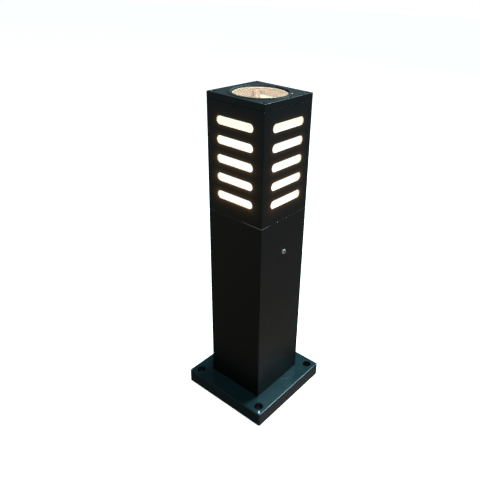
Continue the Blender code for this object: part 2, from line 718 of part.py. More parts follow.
def lamp(body):
    """An LED bulb: a screw cap, a plastic housing and an opal globe, all hollow."""
    tip, top = LAMP_TIP_Z, LAMP_CAP_TOP_Z
    outer, root, wall = 13.2, 12.6, 0.8
    profile = [(4.0, tip), (4.8, tip + 1.2), (9.5, tip + 3.0), (root, tip + 5.0)]
    for turn in range(3):
        profile += [(outer, tip + 7.0 + 5.0 * turn), (root, tip + 9.5 + 5.0 * turn)]
    profile += [(outer, top - 1.0), (outer, top), (root - wall, top)]
    profile += [(root - wall, tip + 6.0), (8.0, tip + 4.4)]
    add(turned("lamp_cap", profile, LAMP_SIDES), "nickel_plated_brass", body)

    low, rim = top + GAP, GLOBE_RIM_Z - GAP
    inner_rim = math.sqrt(GLOBE_RADIUS**2 - (LAMP_TOP_Z - GLOBE_RADIUS - GLOBE_RIM_Z) ** 2)
    profile = [(13.6, low), (14.6, low + 2.0), (17.0, low + 9.0), (23.0, low + 27.0)]
    profile += [(inner_rim + 0.6, rim), (inner_rim - 1.2, rim), (21.4, low + 27.0)]
    profile += [(15.4, low + 9.0), (12.0, low + 2.0), (12.0, low)]
    add(turned("lamp_housing", profile, LAMP_SIDES, through=True), "white_plastic", body)

    centre = LAMP_TOP_Z - GLOBE_RADIUS
    skin = 1.2
    first = math.degrees(math.asin((GLOBE_RIM_Z - centre) / GLOBE_RADIUS))
    outer_arc = arc(GLOBE_RADIUS, first, 86.0, 7, (0.0, centre))
    inner_arc = arc(GLOBE_RADIUS - skin, 85.0, first - 0.5, 7, (0.0, centre))
    profile = outer_arc + inner_arc[:-1] + [(inner_arc[-1][0], GLOBE_RIM_Z)]
    add(turned("lamp_globe", profile, LAMP_SIDES), "opal_polycarbonate", body)


# ---- head --------------------------------------------------------------------------------------


def louvre_housing(body):
    """The head's extrusion, with five slots in each side and a seat for the spigot plate."""
    outlines = [rounded_square(HALF, OUTER_CORNER), extrusion_inner()]
    housing = add(plate("louvre_housing", outlines, *HOUSING_Z), "black_powder_coat", body)
    low, high = HOUSING_Z[0] - OVER, SPIGOT_Z[2] + GAP
    seat = block("spigot_seat", (-SEAT_HALF, -SEAT_HALF, low), (SEAT_HALF, SEAT_HALF, high))
    combine(housing, "DIFFERENCE", seat)
    slots = []
    shape = stadium(SLOT_LENGTH, SLOT_HEIGHT)
    upright = Matrix.Rotation(math.radians(90), 4, "X")
    for side in range(4):
        turn = Matrix.Rotation(math.radians(90.0 * side), 4, "Z")
        for row in range(SLOT_COUNT):
            cutter = stack(f"slot_{side}_{row}", [(shape, INNER - OVER), (shape, HALF + OVER)])
            z = SLOT_TOP_Z - row * SLOT_PITCH
            slots.append(moved(cutter, turn @ at(0.0, 0.0, z) @ upright))
    combine(housing, "DIFFERENCE", merged("slots", slots))


def head_spigot(body):
    """A plate in the foot of the head, and an eight-sided sleeve that drops into the post."""
    bottom, joint, top = SPIGOT_Z
    outer, inner = octagon(46.4, 77.0), octagon(44.4, 73.5)
    sleeve = plate("head_spigot", [outer, inner], bottom, joint + 0.5)
    spigot = add(sleeve, "galvanised_steel", body)
    outlines = [rounded_square(SEAT_HALF - GAP, OUTER_CORNER), circle(36.0, FINE)]
    outlines += [circle(PORT_RADIUS + 0.1, SMALL, (sx * PORT_AT, sy * PORT_AT)) for sx, sy in CORNERS]
    combine(spigot, "UNION", plate("spigot_plate", outlines, joint, top))
    for index, (sx, sy) in enumerate(CORNERS, 1):
        mesh = screw(f"spigot_screw_{index}", 3.3, 14.0, 2.0, 2.5, height=1.9)
        place = (sx * PORT_AT, sy * PORT_AT, joint - GAP)
        add(mesh, "zinc_plated_steel", body, place, (180.0, 0.0, 0.0))


def diffuser_panels(body):
    """One opal panel behind the slots of each side. The one at the back was cut a little taller."""
    low = (-PANEL_HALF, PANEL_Y[0], SPIGOT_Z[2] + GAP)
    for side, (name, top) in enumerate(PANEL_TOPS.items()):
        panel = block(f"diffuser_{name}", low, (PANEL_HALF, PANEL_Y[1], top))
        add(panel, "opal_acrylic", body, turn=(0.0, 0.0, 90.0 * side))


def cap_gasket(body):
    low = HOUSING_Z[1] + GAP
    outlines = [rounded_square(HALF - 1.0, OUTER_CORNER), octagon(45.4, 81.0)]
    outlines += [circle(2.6, SMALL, (sx * PORT_AT, sy * PORT_AT)) for sx, sy in CORNERS]
    add(plate("cap_gasket", outlines, low, CAP_Z[0] - GAP), "black_rubber", body)


# ---- cap and window ----------------------------------------------------------------------------


def top_cap(body):
    """A flat cap with a stepped window opening, four countersinks and a tapped hole."""
    low, high = CAP_Z
    outline, bevelled = rounded_square(CAP_HALF, 0.8), rounded_square(CAP_HALF - 0.5, 0.6)
    slab = stack("top_cap", [(outline, low), (outline, high - 0.5), (bevelled, high)])
    cap = add(slab, "black_powder_coat", body)
    profile = [(WINDOW_RADIUS, low - OVER), (WINDOW_RADIUS, LEDGE_Z), (WELL_RADIUS, LEDGE_Z)]
    profile += [(WELL_RADIUS, RECESS_Z), (RECESS_RADIUS, RECESS_Z), (RECESS_RADIUS, high + OVER)]
    combine(cap, "DIFFERENCE", turned("window_well", profile, FINE))
    shank, head = PORT_RADIUS + 0.1, CAP_HEAD + GAP
    seat = high - CAP_HEAD_SINK
    holes = []
    for index, (sx, sy) in enumerate(CORNERS):
        profile = [(shank, low - OVER), (shank, seat - head + shank), (head, seat), (head, high + OVER)]
        mesh = turned(f"cap_hole_{index}", profile, LAMP_SIDES)
        holes.append(moved(mesh, at(sx * PORT_AT, sy * PORT_AT, 0.0)))
    radius = BEZEL_SCREW[0] + GAP
    mesh = turned("bezel_hole", [(radius, RECESS_Z - 5.5), (radius, high + OVER)], SMALL)
    holes.append(moved(mesh, at(*BEZEL_SCREW_AT, 0.0)))
    combine(cap, "DIFFERENCE", merged("cap_holes", holes))
    for index, (sx, sy) in enumerate(CORNERS, 1):
        mesh = screw(f"cap_screw_{index}", CAP_HEAD, 16.0, 2.0, 2.5)
        add(mesh, "black_steel", body, (sx * PORT_AT, sy * PORT_AT, seat))


def glass_gasket(body):
    """A rubber channel round the edge of the glass."""
    low, high, lip = LEDGE_Z + GAP, RECESS_Z - 0.1, 0.7
    outer, wall = WELL_RADIUS - GAP, WELL_RADIUS - 0.9
    profile = [(WINDOW_RADIUS, low), (outer, low), (outer, high), (WINDOW_RADIUS, high)]
    profile += [(WINDOW_RADIUS, high - lip), (wall, high - lip), (wall, low + lip)]
    profile.append((WINDOW_RADIUS, low + lip))
    add(turned("glass_gasket", profile, FINE, through=True), "black_rubber", body)


def window_glass(body):
    low, high, radius, chamfer = LEDGE_Z + 1.3, RECESS_Z - 1.1, WELL_RADIUS - 1.2, 0.4
    profile = [(radius - chamfer, low), (radius, low + chamfer), (radius, high - chamfer)]
    profile.append((radius - chamfer, high))
    add(turned("window_glass", profile, FINE), "clear_glass", body)


def bezel_ring(body):
    """A flat ring that holds the glass down, locked by a countersunk screw."""
    low, high = RECESS_Z + GAP, BEZEL_TOP_Z
    outer, inner, chamfer, slope = RECESS_RADIUS - 0.2, WELL_RADIUS - 1.7, 0.4, 0.8
    profile = [(inner, low), (outer, low), (outer, high - chamfer), (outer - chamfer, high)]
    profile += [(inner + slope, high), (inner, high - slope)]
    ring = add(turned("bezel_ring", profile, FINE, through=True), "black_powder_coat", body)
    shank, head = BEZEL_SCREW[0] + GAP, BEZEL_SCREW[1] + GAP
    profile = [(shank, low - OVER), (shank, high - head + shank), (head, high), (head, high + OVER)]
    combine(ring, "DIFFERENCE", moved(turned("bezel_sink", profile, SMALL), at(*BEZEL_SCREW_AT, 0.0)))
    mesh = screw("bezel_screw", BEZEL_SCREW[1], 6.0, BEZEL_SCREW[0], 2.0)
    add(mesh, "stainless_steel", body, (*BEZEL_SCREW_AT, high - 0.05))


# ---- the whole light ---------------------------------------------------------------------------


def main():
    for obj in list(bpy.data.objects):
        bpy.data.objects.remove(obj)
    post = body_empty("post")
    screw_body = body_empty("lock", (HALF, LOCK_Y, LOCK_Z))
    lamp_body = body_empty("lamp", (0.0, 0.0, LAMP_TIP_Z))
    head = body_empty("head", (0.0, 0.0, JOINT_Z))
    cap = body_empty("cap", (0.0, 0.0, CAP_Z[0]))
    fixed = (
        base_casting, base_screws, post_tube, gland_body, gland_dome_nut, gland_seal, gland_locknut,
        earth_bolt, earth_lug, gear_tray, terminal_block, shelf_grommet, wires, lamp_holder,
    )
    for make in fixed:
        make(post)
    lock_screw(screw_body)
    lamp(lamp_body)
    for make in (louvre_housing, head_spigot, diffuser_panels, cap_gasket):
        make(head)
    for make in (top_cap, glass_gasket, window_glass, bezel_ring):
        make(cap)


main()
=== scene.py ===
"""Bollard light, lit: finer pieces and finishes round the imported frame.

Lengths and places in the geometry below are in millimetres, in the frame's own axes, and build_mesh()
turns them into metres. Texture sizes are in millimetres too. The looks come first, then the pieces of
the foot, the post, the lamp, the head and the cap, and last the floor, lights and camera.
"""

import json
import math

import bmesh
import bpy
from mathutils import Matrix, Vector

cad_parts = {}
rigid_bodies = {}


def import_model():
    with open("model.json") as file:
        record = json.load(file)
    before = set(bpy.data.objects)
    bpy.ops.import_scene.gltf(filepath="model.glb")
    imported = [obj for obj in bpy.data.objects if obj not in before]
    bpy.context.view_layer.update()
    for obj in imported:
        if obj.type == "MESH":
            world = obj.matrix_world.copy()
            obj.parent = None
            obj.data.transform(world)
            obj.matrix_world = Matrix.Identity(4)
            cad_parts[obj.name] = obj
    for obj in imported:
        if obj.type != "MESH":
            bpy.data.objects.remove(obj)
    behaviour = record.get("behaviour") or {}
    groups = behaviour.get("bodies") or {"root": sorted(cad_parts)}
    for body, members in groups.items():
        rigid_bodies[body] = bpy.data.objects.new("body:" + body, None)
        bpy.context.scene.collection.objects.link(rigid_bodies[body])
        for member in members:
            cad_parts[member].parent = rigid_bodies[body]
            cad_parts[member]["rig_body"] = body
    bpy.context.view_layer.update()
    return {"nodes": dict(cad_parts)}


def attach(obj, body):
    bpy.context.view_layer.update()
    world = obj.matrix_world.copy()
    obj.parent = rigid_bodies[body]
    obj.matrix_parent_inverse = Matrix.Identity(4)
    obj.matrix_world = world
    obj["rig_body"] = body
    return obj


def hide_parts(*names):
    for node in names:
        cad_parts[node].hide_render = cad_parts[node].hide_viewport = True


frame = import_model()

MM = 0.001
GAP = 0.3  # clearance between neighbouring pieces
OVER = 1.0  # how far a cutter runs past the face that it leaves

# Foot
BASE_SIDE = 158.0
BASE_HEIGHT = 23.0
BASE_TOP_WALL = 6.0
BASE_SKIRT = 6.0
BASE_CORNER = 3.0
BASE_FILLET = 1.5
ANCHOR_AT = 65.0
ANCHOR_RADIUS = 7.0
# Where the painted highlight on the foot's corner sits
CORNER_HIGHLIGHT_AT = 73.5
GLAND_HOLE = 10.3
EARTH_AT = (-25.0, -20.0)
EARTH_HOLE = 3.3
TRAY_SCREW = (2.5, 4.4)  # thread and head radius
TRAY_SCREW_X = (-15.0, 15.0)
TRAY_SCREW_Y = 34.0
TRAY_THICK = 2.0

# Square extrusion of the post and the head
HALF = 50.5
INNER = 47.0
OUTER_CORNER = 0.5
PORT_AT = 44.0
PORT_BOSS = 4.4
PORT_RADIUS = 2.3
PORT_SLOT = 0.9
LIP_LOW, LIP_HIGH = 42.0, 43.3
LIP_TIP = 36.8
TUBE_Z = (23.3, 328.7)
JOINT_Z = 329.0
LOCK_Y, LOCK_Z = 0.0, 274.0
LOCK_THREAD = 2.0

# Terminal block, lamp holder and lamp
BLOCK_MIDDLE_Z = 131.0
BLOCK_SCREW_X = (-17.5, 17.5)
BLOCK_FRONT_Y = 2.0
SHELF_Z = 296.0
HOLDER_Z = (298.3, 348.0)
HOLDER_RADIUS = 20.0
HOLDER_FLOOR = (309.0, 317.0)
HOLDER_WELL = 14.8
HOLDER_SCREW_X = (-15.5, 15.5)
LAMP_TIP_Z = 327.7
LAMP_CAP_TOP_Z = 352.0
LAMP_TOP_Z = 438.0
GLOBE_RADIUS = 30.0
GLOBE_RIM_Z = 392.0

# Head
HOUSING_Z = (329.3, 489.3)
GASKET_SINK = 0.25  # how far the soft gasket gives on each side
SPIGOT_Z = (249.0, 332.0, 335.0)  # sleeve's foot, plate's underside, plate's top
SEAT_HALF = 47.8
SLOT_COUNT = 5
SLOT_TOP_Z = 465.0
SLOT_PITCH = 26.7
SLOT_LENGTH = 65.0
SLOT_HEIGHT = 12.0
STRAIGHT_HALF = (SLOT_LENGTH - SLOT_HEIGHT) / 2
PANEL_HALF = 39.2
PANEL_Y = (43.65, 46.65)
PANEL_TOPS = {"back": 480.5, "left": 476.0, "front": 476.0, "right": 476.0}

# Cap and window
CAP_Z = (490.4, 499.4)
CAP_HALF = 50.6
BEZEL_TOP_Z = 500.0
WINDOW_RADIUS = 37.6
WELL_RADIUS = 40.6
RECESS_RADIUS = 45.0
LEDGE_Z = CAP_Z[0] + 2.5
RECESS_Z = CAP_Z[1] - 1.1
BEZEL_SCREW = (1.25, 2.3)  # thread and head radius
BEZEL_SCREW_AT = (36.0, 20.9)
CAP_EDGE = 0.3
CAP_HEAD = 3.0
CAP_HEAD_SINK = 0.8

# How many sides a round piece has
SMOOTH, ROUND, SMALL = 96, 48, 24

CORNERS = ((1, 1), (-1, 1), (-1, -1), (1, -1))
PORTS = [(sx * PORT_AT, sy * PORT_AT) for sx, sy in CORNERS]


# ---- outlines: lists of (x, y) going round ----


def arc(radius, first, last, steps, centre=(0.0, 0.0)):
    """Points from the first to the last angle, in degrees."""
    angles = [math.radians(first + (last - first) * k / steps) for k in range(steps + 1)]
    return [(centre[0] + radius * math.cos(a), centre[1] + radius * math.sin(a)) for a in angles]


def circle(radius, sides, centre=(0.0, 0.0)):
    return arc(radius, 0.0, 360.0, sides, centre)[:-1]


def hexagon(across_flats, sides):
    """A hexagon with as many points as a circle of that many sides, a multiple of 12."""
    points = []
    for k in range(sides):
        angle = 360.0 * k / sides
        off_flat = (angle + 30.0) % 60.0 - 30.0
        reach = across_flats / 2 / math.cos(math.radians(off_flat))
        points.append((reach * math.cos(math.radians(angle)), reach * math.sin(math.radians(angle))))
    return points


def rounded_square(half, radius, steps=6):
    points = []
    for quarter, (sx, sy) in enumerate(CORNERS):
        centre = (sx * (half - radius), sy * (half - radius))
        points += arc(radius, 90.0 * quarter, 90.0 * quarter + 90.0, steps, centre)
    return points


def rectangle(x0, x1, y0, y1):
    return [(x0, y0), (x1, y0), (x1, y1), (x0, y1)]


def turned_by(point, quarters):
    x, y = point
    for _ in range(quarters % 4):
        x, y = -y, x
    return (x, y)


def octagon(flat, diagonal):
    """A square of that half side, its corners cut where |x| + |y| reaches the diagonal."""
    short = diagonal - flat
    quarter = [(flat, -short), (flat, short)]
    return [turned_by(point, k) for k in range(4) for point in quarter]


def stadium(length, height):
    reach = (length - height) / 2
    right = arc(height / 2, -90.0, 90.0, 16, (reach, 0.0))
    left = arc(height / 2, 90.0, 270.0, 16, (-reach, 0.0))
    return right + left


def port_half():
    """Half of one corner of the extrusion's inner outline, from the wall to the port's far side."""
    centre = (PORT_AT, PORT_AT)
    wall = 180.0 - math.degrees(math.asin((INNER - PORT_AT) / PORT_BOSS))
    lip_top = 180.0 + math.degrees(math.asin((PORT_AT - LIP_HIGH) / PORT_BOSS))
    lip_bottom = 180.0 + math.degrees(math.asin((PORT_AT - LIP_LOW) / PORT_BOSS))
    slot_out = 225.0 - math.degrees(math.asin(PORT_SLOT / PORT_BOSS))
    slot_in = 225.0 - math.degrees(math.asin(PORT_SLOT / PORT_RADIUS))
    points = arc(PORT_BOSS, wall, lip_top, 6, centre)
    points += [(LIP_TIP, LIP_HIGH), (LIP_TIP, LIP_LOW)]
    points += arc(PORT_BOSS, lip_bottom, slot_out, 4, centre)
    points += arc(PORT_RADIUS, slot_in, 45.0, 10, centre)
    return points


def extrusion_inner():
    half = port_half()
    corner = half + [(y, x) for x, y in reversed(half[:-1])]
    return [turned_by(point, -quarter) for quarter in range(4) for point in corner]


def eased(points, size, steps=2):
    """The same outline or profile with each of its corners rounded over that length."""
    result = []
    for k, point in enumerate(points):
        ends = []
        for other in (points[k - 1], points[(k + 1) % len(points)]):
            length = math.dist(point, other)
            share = min(size, 0.4 * length) / length
            ends.append([p + (o - p) * share for p, o in zip(point, other)])
        for step in range(steps + 1):
            t = step / steps
            weights = ((1 - t) ** 2, 2 * t * (1 - t), t**2)
            corner = zip(ends[0], point, ends[1])
            result.append(tuple(sum(w * c for w, c in zip(weights, axis)) for axis in corner))
    return result


# ---- meshes ----


def build_mesh(name, points, faces):
    """A mesh in metres whose faces point out."""
    mesh = bpy.data.meshes.new(name)
    mesh.from_pydata([(x * MM, y * MM, z * MM) for x, y, z in points], [], faces)
    work = bmesh.new()
    work.from_mesh(mesh)
    bmesh.ops.recalc_face_normals(work, faces=work.faces)
    work.to_mesh(mesh)
    work.free()
    return mesh


def stack(name, rings, through=False):
    """Rings of equal count joined in turn. The ends are capped, or joined to each other."""
    count = len(rings[0][0])
    points = [(x, y, z) for outline, z in rings for x, y in outline]
    faces = []
    for level in range(len(rings) if through else len(rings) - 1):
        low, high = level * count, (level + 1) % len(rings) * count
        for k in range(count):
            after = (k + 1) % count
            faces.append((low + k, low + after, high + after, high + k))
    if not through:
        faces.append(tuple(reversed(range(count))))
        faces.append(tuple(range((len(rings) - 1) * count, len(rings) * count)))
    return build_mesh(name, points, faces)


def rounds(profile, sides=ROUND):
    """Round rings from (radius, z) points."""
    return [(circle(radius, sides), z) for radius, z in profile]


def turned(name, profile, sides=ROUND, through=False):
    """A lathe shape about Z."""
    return stack(name, rounds(profile, sides), through)


def plate(name, outlines, z0, z1):
    """The area inside the first outline and outside the others, from z0 up to z1."""
    work = bmesh.new()
    for outline in outlines:
        verts = [work.verts.new((x, y, z0)) for x, y in outline]
        for k, vert in enumerate(verts):
            work.edges.new((vert, verts[(k + 1) % len(verts)]))
    bmesh.ops.triangle_fill(work, edges=work.edges, use_beauty=True)
    bottom = list(work.faces)
    grown = bmesh.ops.extrude_face_region(work, geom=bottom, use_keep_orig=True)["geom"]
    for vert in (item for item in grown if isinstance(item, bmesh.types.BMVert)):
        vert.co.z = z1
    points = [tuple(vert.co) for vert in work.verts]
    work.verts.index_update()
    faces = [tuple(vert.index for vert in face.verts) for face in work.faces]
    work.free()
    return build_mesh(name, points, faces)


def block(name, low, high, ease=0.0):
    """A box, with its edges rounded where ease is given."""
    outline = rectangle(low[0], high[0], low[1], high[1])
    if not ease:
        return stack(name, [(outline, low[2]), (outline, high[2])])
    inset = rectangle(low[0] + ease, high[0] - ease, low[1] + ease, high[1] - ease)
    rings = [(eased(inset, ease), low[2]), (eased(outline, ease), low[2] + ease)]
    rings += [(eased(outline, ease), high[2] - ease), (eased(inset, ease), high[2])]
    return stack(name, rings)


def merged(name, meshes):
    """Several closed shapes in one mesh, for use as a cutter."""
    points, faces = [], []
    for mesh in meshes:
        start = len(points)
        points += [tuple(c / MM for c in vert.co) for vert in mesh.vertices]
        faces += [tuple(start + index for index in face.vertices) for face in mesh.polygons]
    return build_mesh(name, points, faces)


def moved(mesh, matrix):
    mesh.transform(matrix)
    return mesh


def at(x, y, z):
    return Matrix.Translation((x * MM, y * MM, z * MM))


def spun(degrees, axis):
    return Matrix.Rotation(math.radians(degrees), 4, axis)


def thread(radius, low, high, pitch, depth, sides):
    """Rings of a screw thread that winds up from low to high."""
    levels = max(2, round((high - low) / pitch * 6))
    rings = []
    for level in range(levels + 1):
        z = low + (high - low) * level / levels
        fade = min(1.0, 3.0 * level / levels, 3.0 * (levels - level) / levels)
        outline = []
        for k in range(sides):
            phase = (z / pitch - k / sides) % 1.0
            groove = depth * fade * (0.5 + 0.5 * math.cos(2 * math.pi * phase))
            angle = 2 * math.pi * k / sides
            outline.append(((radius - groove) * math.cos(angle), (radius - groove) * math.sin(angle)))
        rings.append((outline, z))
    return rings


def screw(name, head, length, shank, socket, height=0.0, sides=SMALL):
    """A socket screw that points down, with its thread. A head of some height seats at z = 0, and one
    of no height is countersunk with its flat at z = 0."""
    under = 0.0 if height else shank - head
    plain = min(1.0, 0.2 * (length + under))
    pitch, depth = 0.3 * shank, 0.14 * shank
    profile = [(shank, under - 0.1)]
    if height:
        profile += [(shank + 0.1, 0.0), (head - 0.15, 0.0)]
        for angle in (0.0, 25.0, 50.0, 75.0):
            reach = head - 0.28 * head * (1 - math.cos(math.radians(angle)))
            profile.append((reach, 0.15 + (height - 0.15) * math.sin(math.radians(angle))))
        flat, deep = min(0.66 * head, head - 0.4), height - 0.7 * height
    else:
        profile += [(head - 0.1, -0.1), (head - 0.1, 0.0)]
        flat, deep = head - 0.25, -0.8 * (head - shank)
    profile.append((max(flat, socket / 2 * 1.22), height))
    sizes = [(socket + 0.3, height), (socket, height - 0.2), (socket, deep)]
    sizes.append((0.3 * socket, deep - 0.15 * socket))
    rings = rounds([(0.6 * shank, -length), (0.86 * shank, -length + 0.3 * shank)], sides)
    rings += thread(shank, -length + 0.35 * shank, under - plain, pitch, depth, sides)
    rings += rounds(profile, sides) + [(hexagon(across, sides), z) for across, z in sizes]
    return stack(name, rings)


# ---- looks ----


class Nodes:
    """The shader nodes of a material or of the world."""

    def __init__(self, tree):
        self.tree = tree

    def node(self, kind, inputs=(), **settings):
        made = self.tree.nodes.new(kind)
        for key, value in settings.items():
            setattr(made, key, value)
        for key, value in dict(inputs).items():
            self.plug(made.inputs[key], value)
        return made

    def plug(self, socket, value):
        if isinstance(value, bpy.types.NodeSocket):
            self.tree.links.new(value, socket)
        elif socket.type == "RGBA" and len(value) == 3:
            socket.default_value = (*value, 1.0)
        else:
            socket.default_value = value

    def ease(self, value, low, high, to_low=0.0, to_high=1.0):
        inputs = {0: value, 1: low, 2: high, 3: to_low, 4: to_high}
        return self.node("ShaderNodeMapRange", inputs).outputs[0]

    def calc(self, operation, a, b=0.0):
        return self.node("ShaderNodeMath", {0: a, 1: b}, operation=operation).outputs[0]

    def times(self, a, b):
        return self.calc("MULTIPLY", a, b)

    def plus(self, a, b):
        return self.calc("ADD", a, b)

    def minus(self, a, b):
        return self.calc("SUBTRACT", a, b)

    def blend(self, share, a, b):
        """A colour between a and b."""
        return self.node("ShaderNodeMix", {0: share, 6: a, 7: b}, data_type="RGBA").outputs[2]


class Look(Nodes):
    """A procedural material: one Principled shader, and textures in the object's own space."""

    def __init__(self, name, slot):
        self.slot = slot
        self.material = bpy.data.materials.new(name)
        self.material.use_nodes = True
        super().__init__(self.material.node_tree)
        self.shader = self.tree.nodes["Principled BSDF"]
        self.place = self.node("ShaderNodeTexCoord").outputs["Object"]

    def set(self, **inputs):
        """Shader inputs by name, with _ for a space."""
        for key, value in inputs.items():
            self.plug(self.shader.inputs[key.replace("_", " ").title()], value)
        return self

    def stretched(self, x, y, z):
        scaled = self.node("ShaderNodeVectorMath", {0: self.place, 1: (x, y, z)}, operation="MULTIPLY")
        return scaled.outputs[0]

    def noise(self, size, detail=2.0, roughness=0.5, place=None):
        """Values about 0.5, in lumps of that size."""
        inputs = {"Vector": place or self.place, "Scale": 1 / (size * MM)}
        inputs.update({"Detail": detail, "Roughness": roughness})
        return self.node("ShaderNodeTexNoise", inputs).outputs["Fac"]

    def cells(self, size, output="Distance"):
        inputs = {"Vector": self.place, "Scale": 1 / (size * MM)}
        return self.node("ShaderNodeTexVoronoi", inputs).outputs[output]

    def axis(self, name):
        return self.node("ShaderNodeSeparateXYZ", {0: self.place}).outputs[name]

    def worn(self, radius):
        """1 along edges sharper than that radius, 0 on the flat."""
        bent = self.node("ShaderNodeBevel", {"Radius": radius * MM}, samples=6).outputs[0]
        true = self.node("ShaderNodeNewGeometry").outputs["Normal"]
        along = self.node("ShaderNodeVectorMath", {0: bent, 1: true}, operation="DOT_PRODUCT")
        return self.ease(along.outputs["Value"], 0.97, 0.85)

    def bump(self, height, depth, normal=None):
        inputs = {"Height": height, "Distance": depth * MM}
        if normal:
            inputs["Normal"] = normal
        return self.node("ShaderNodeBump", inputs).outputs["Normal"]


def powder_coat(name, roughness, grain, dust, rub):
    """Semi-gloss black powder coat: orange peel, handling marks, worn edges and a little dust. It is
    duller along the edges and low down, where it gets splashed. Round the slots it has a painted warm
    glow, and along the post's top edge a painted highlight."""
    look = Look(name, "black_powder_coat")
    peel = look.noise(grain, 3.0, 0.6)
    marks = look.noise(22.0, 4.0, 0.65)
    dusty = look.times(look.ease(look.noise(2.4, 5.0, 0.8), 0.58, 0.85), dust)
    wear = look.times(look.worn(0.5), look.ease(look.noise(6.0, 4.0, 0.7), 0.42, 0.7))
    colour = look.blend(dusty, (0.0065, 0.0068, 0.0070), (0.055, 0.053, 0.048))
    colour = look.blend(look.times(wear, rub), colour, (0.070, 0.073, 0.075))
    gloss = look.ease(marks, 0.3, 0.7, roughness - 0.05, roughness + 0.06)
    gloss = look.plus(gloss, look.times(dusty, 0.3))
    edge = look.worn(0.6)
    gloss = look.plus(gloss, look.times(edge, 0.35))
    # Painted highlight: pale metal along the post's top edge.
    bare = seam_highlight(look)
    look.set(base_color=look.blend(bare, colour, (0.70, 0.71, 0.73)), metallic=bare)
    ripple = look.bump(marks, 0.10, look.bump(peel, 0.035))
    above_foot = look.ease(look.axis("Z"), BASE_HEIGHT * MM, 110.0 * MM, 0.08, 0.5)
    sheen = look.times(above_foot, look.ease(edge, 0.0, 1.0, 1.0, 0.3))
    look.plug(look.shader.inputs["Specular IOR Level"], sheen)
    # Painted light: a warm glow round the slots.
    look.set(emission_color=(1.0, 0.58, 0.28), emission_strength=painted_slot_glow(look))
    return look.set(roughness=gloss, normal=ripple)


def seam_highlight(look):
    """A painted highlight along the post's top edge, as pale bare metal, brightest towards the corner
    between +X and -Y where the joint catches the light.
    """
    below = look.minus(JOINT_Z * MM, look.axis("Z"))
    above_low = look.ease(below, 1.25 * MM, 1.0 * MM)
    at_edge = look.times(above_low, look.ease(below, -0.1 * MM, 0.0))
    across = look.minus(look.axis("X"), look.axis("Y"))
    right = look.calc("MAXIMUM", look.plus(look.axis("X"), look.axis("Y")), 0.0)
    corner = look.ease(look.minus(across, right), 62.0 * MM, 88.0 * MM, 0.04, 1.0)
    return look.times(at_edge, corner)


def painted_slot_glow(look):
    """A painted warm glow of the lamplight on the coat, falling off with the distance from the nearest
    slot.
    """
    down = look.calc("DIVIDE", look.minus(SLOT_TOP_Z * MM, look.axis("Z")), SLOT_PITCH * MM)
    nearest = look.node("ShaderNodeClamp", {0: down, 1: 0.0, 2: SLOT_COUNT - 1.0}).outputs[0]
    off_row = look.times(look.minus(down, look.calc("ROUND", nearest)), SLOT_PITCH)
    x, y = (look.calc("ABSOLUTE", look.axis(name)) for name in "XY")
    along = look.minus(look.calc("DIVIDE", look.calc("MINIMUM", x, y), MM), STRAIGHT_HALF)
    off_end = look.calc("MAXIMUM", along, 0.0)
    squares = look.plus(look.calc("POWER", off_row, 2.0), look.calc("POWER", off_end, 2.0))
    away = look.minus(look.calc("SQRT", squares), SLOT_HEIGHT / 2)
    away = look.calc("MAXIMUM", away, 0.0)
    near = look.times(look.calc("EXPONENT", look.times(away, -1 / 1.5)), 0.040)
    far = look.times(look.calc("EXPONENT", look.times(away, -1 / 6.0)), 0.026)
    lower = look.ease(look.axis("Z"), 475.0 * MM, 400.0 * MM, 0.45, 1.2)
    return look.times(look.plus(near, far), lower)


def cast_coat():
    """Thicker, glossier coat on the casting, whose skin shows through as soft pits."""
    look = Look("coated_casting", "black_powder_coat")
    skin = look.noise(1.8, 4.0, 0.6)
    pits = look.ease(look.cells(2.6), 0.0, 0.5)
    marks = look.noise(17.0, 4.0, 0.6)
    dusty = look.ease(look.noise(1.6, 6.0, 0.85), 0.60, 0.85, 0.0, 0.20)
    wear = look.times(look.worn(0.6), look.ease(look.noise(5.0, 4.0, 0.7), 0.38, 0.66))
    colour = look.blend(dusty, (0.0080, 0.0240, 0.0290), (0.060, 0.068, 0.070))
    colour = look.blend(look.times(wear, 0.12), colour, (0.060, 0.080, 0.085))
    # Painted highlight on the foot's near corner.
    colour = look.blend(corner_highlight(look), colour, (0.75, 0.86, 0.95))
    gloss = look.ease(marks, 0.3, 0.7, 0.22, 0.28)
    edge = look.worn(2.5)
    gloss = look.plus(gloss, look.times(edge, 0.30))
    look.plug(look.shader.inputs["Specular IOR Level"], look.ease(edge, 0.0, 1.0, 0.5, 0.2))
    skinned = look.bump(marks, 0.06, look.bump(pits, 0.02, look.bump(skin, 0.04)))
    return look.set(base_color=colour, roughness=gloss, normal=skinned)


def corner_highlight(look):
    """A painted highlight: a pale patch between one anchor hole and its corner of the foot, where the
    rounded corner catches the light.
    """
    x, y = look.axis("X"), look.axis("Y")
    out = look.minus(look.minus(x, y), 2 * CORNER_HIGHLIGHT_AT * MM)
    side = look.plus(x, y)
    length = look.calc("POWER", look.calc("DIVIDE", out, 5.5 * MM), 2.0)
    width = look.calc("POWER", look.calc("DIVIDE", side, 2.4 * MM), 2.0)
    inside = look.ease(look.plus(length, width), 1.0, 0.35)
    return look.times(inside, look.ease(look.noise(1.2, 4.0, 0.7), 0.35, 0.55))


def metal(name, slot, light, dark, roughness, grain=1.2):
    """Bare or plated metal whose colour and gloss vary in fine grain and in broader stains."""
    look = Look(name, slot)
    fine = look.noise(grain, 4.0, 0.7)
    broad = look.noise(9.0 * grain, 4.0, 0.6)
    edge = look.times(look.worn(0.3), 0.5)
    colour = look.blend(look.ease(broad, 0.35, 0.75, 0.0, 0.5), light, dark)
    colour = look.blend(edge, colour, tuple(min(1.0, 1.25 * c) for c in light))
    gloss = look.ease(fine, 0.3, 0.7, roughness - 0.07, roughness + 0.09)
    look.set(base_color=colour, metallic=1.0, roughness=gloss)
    return look.set(normal=look.bump(fine, 0.01))


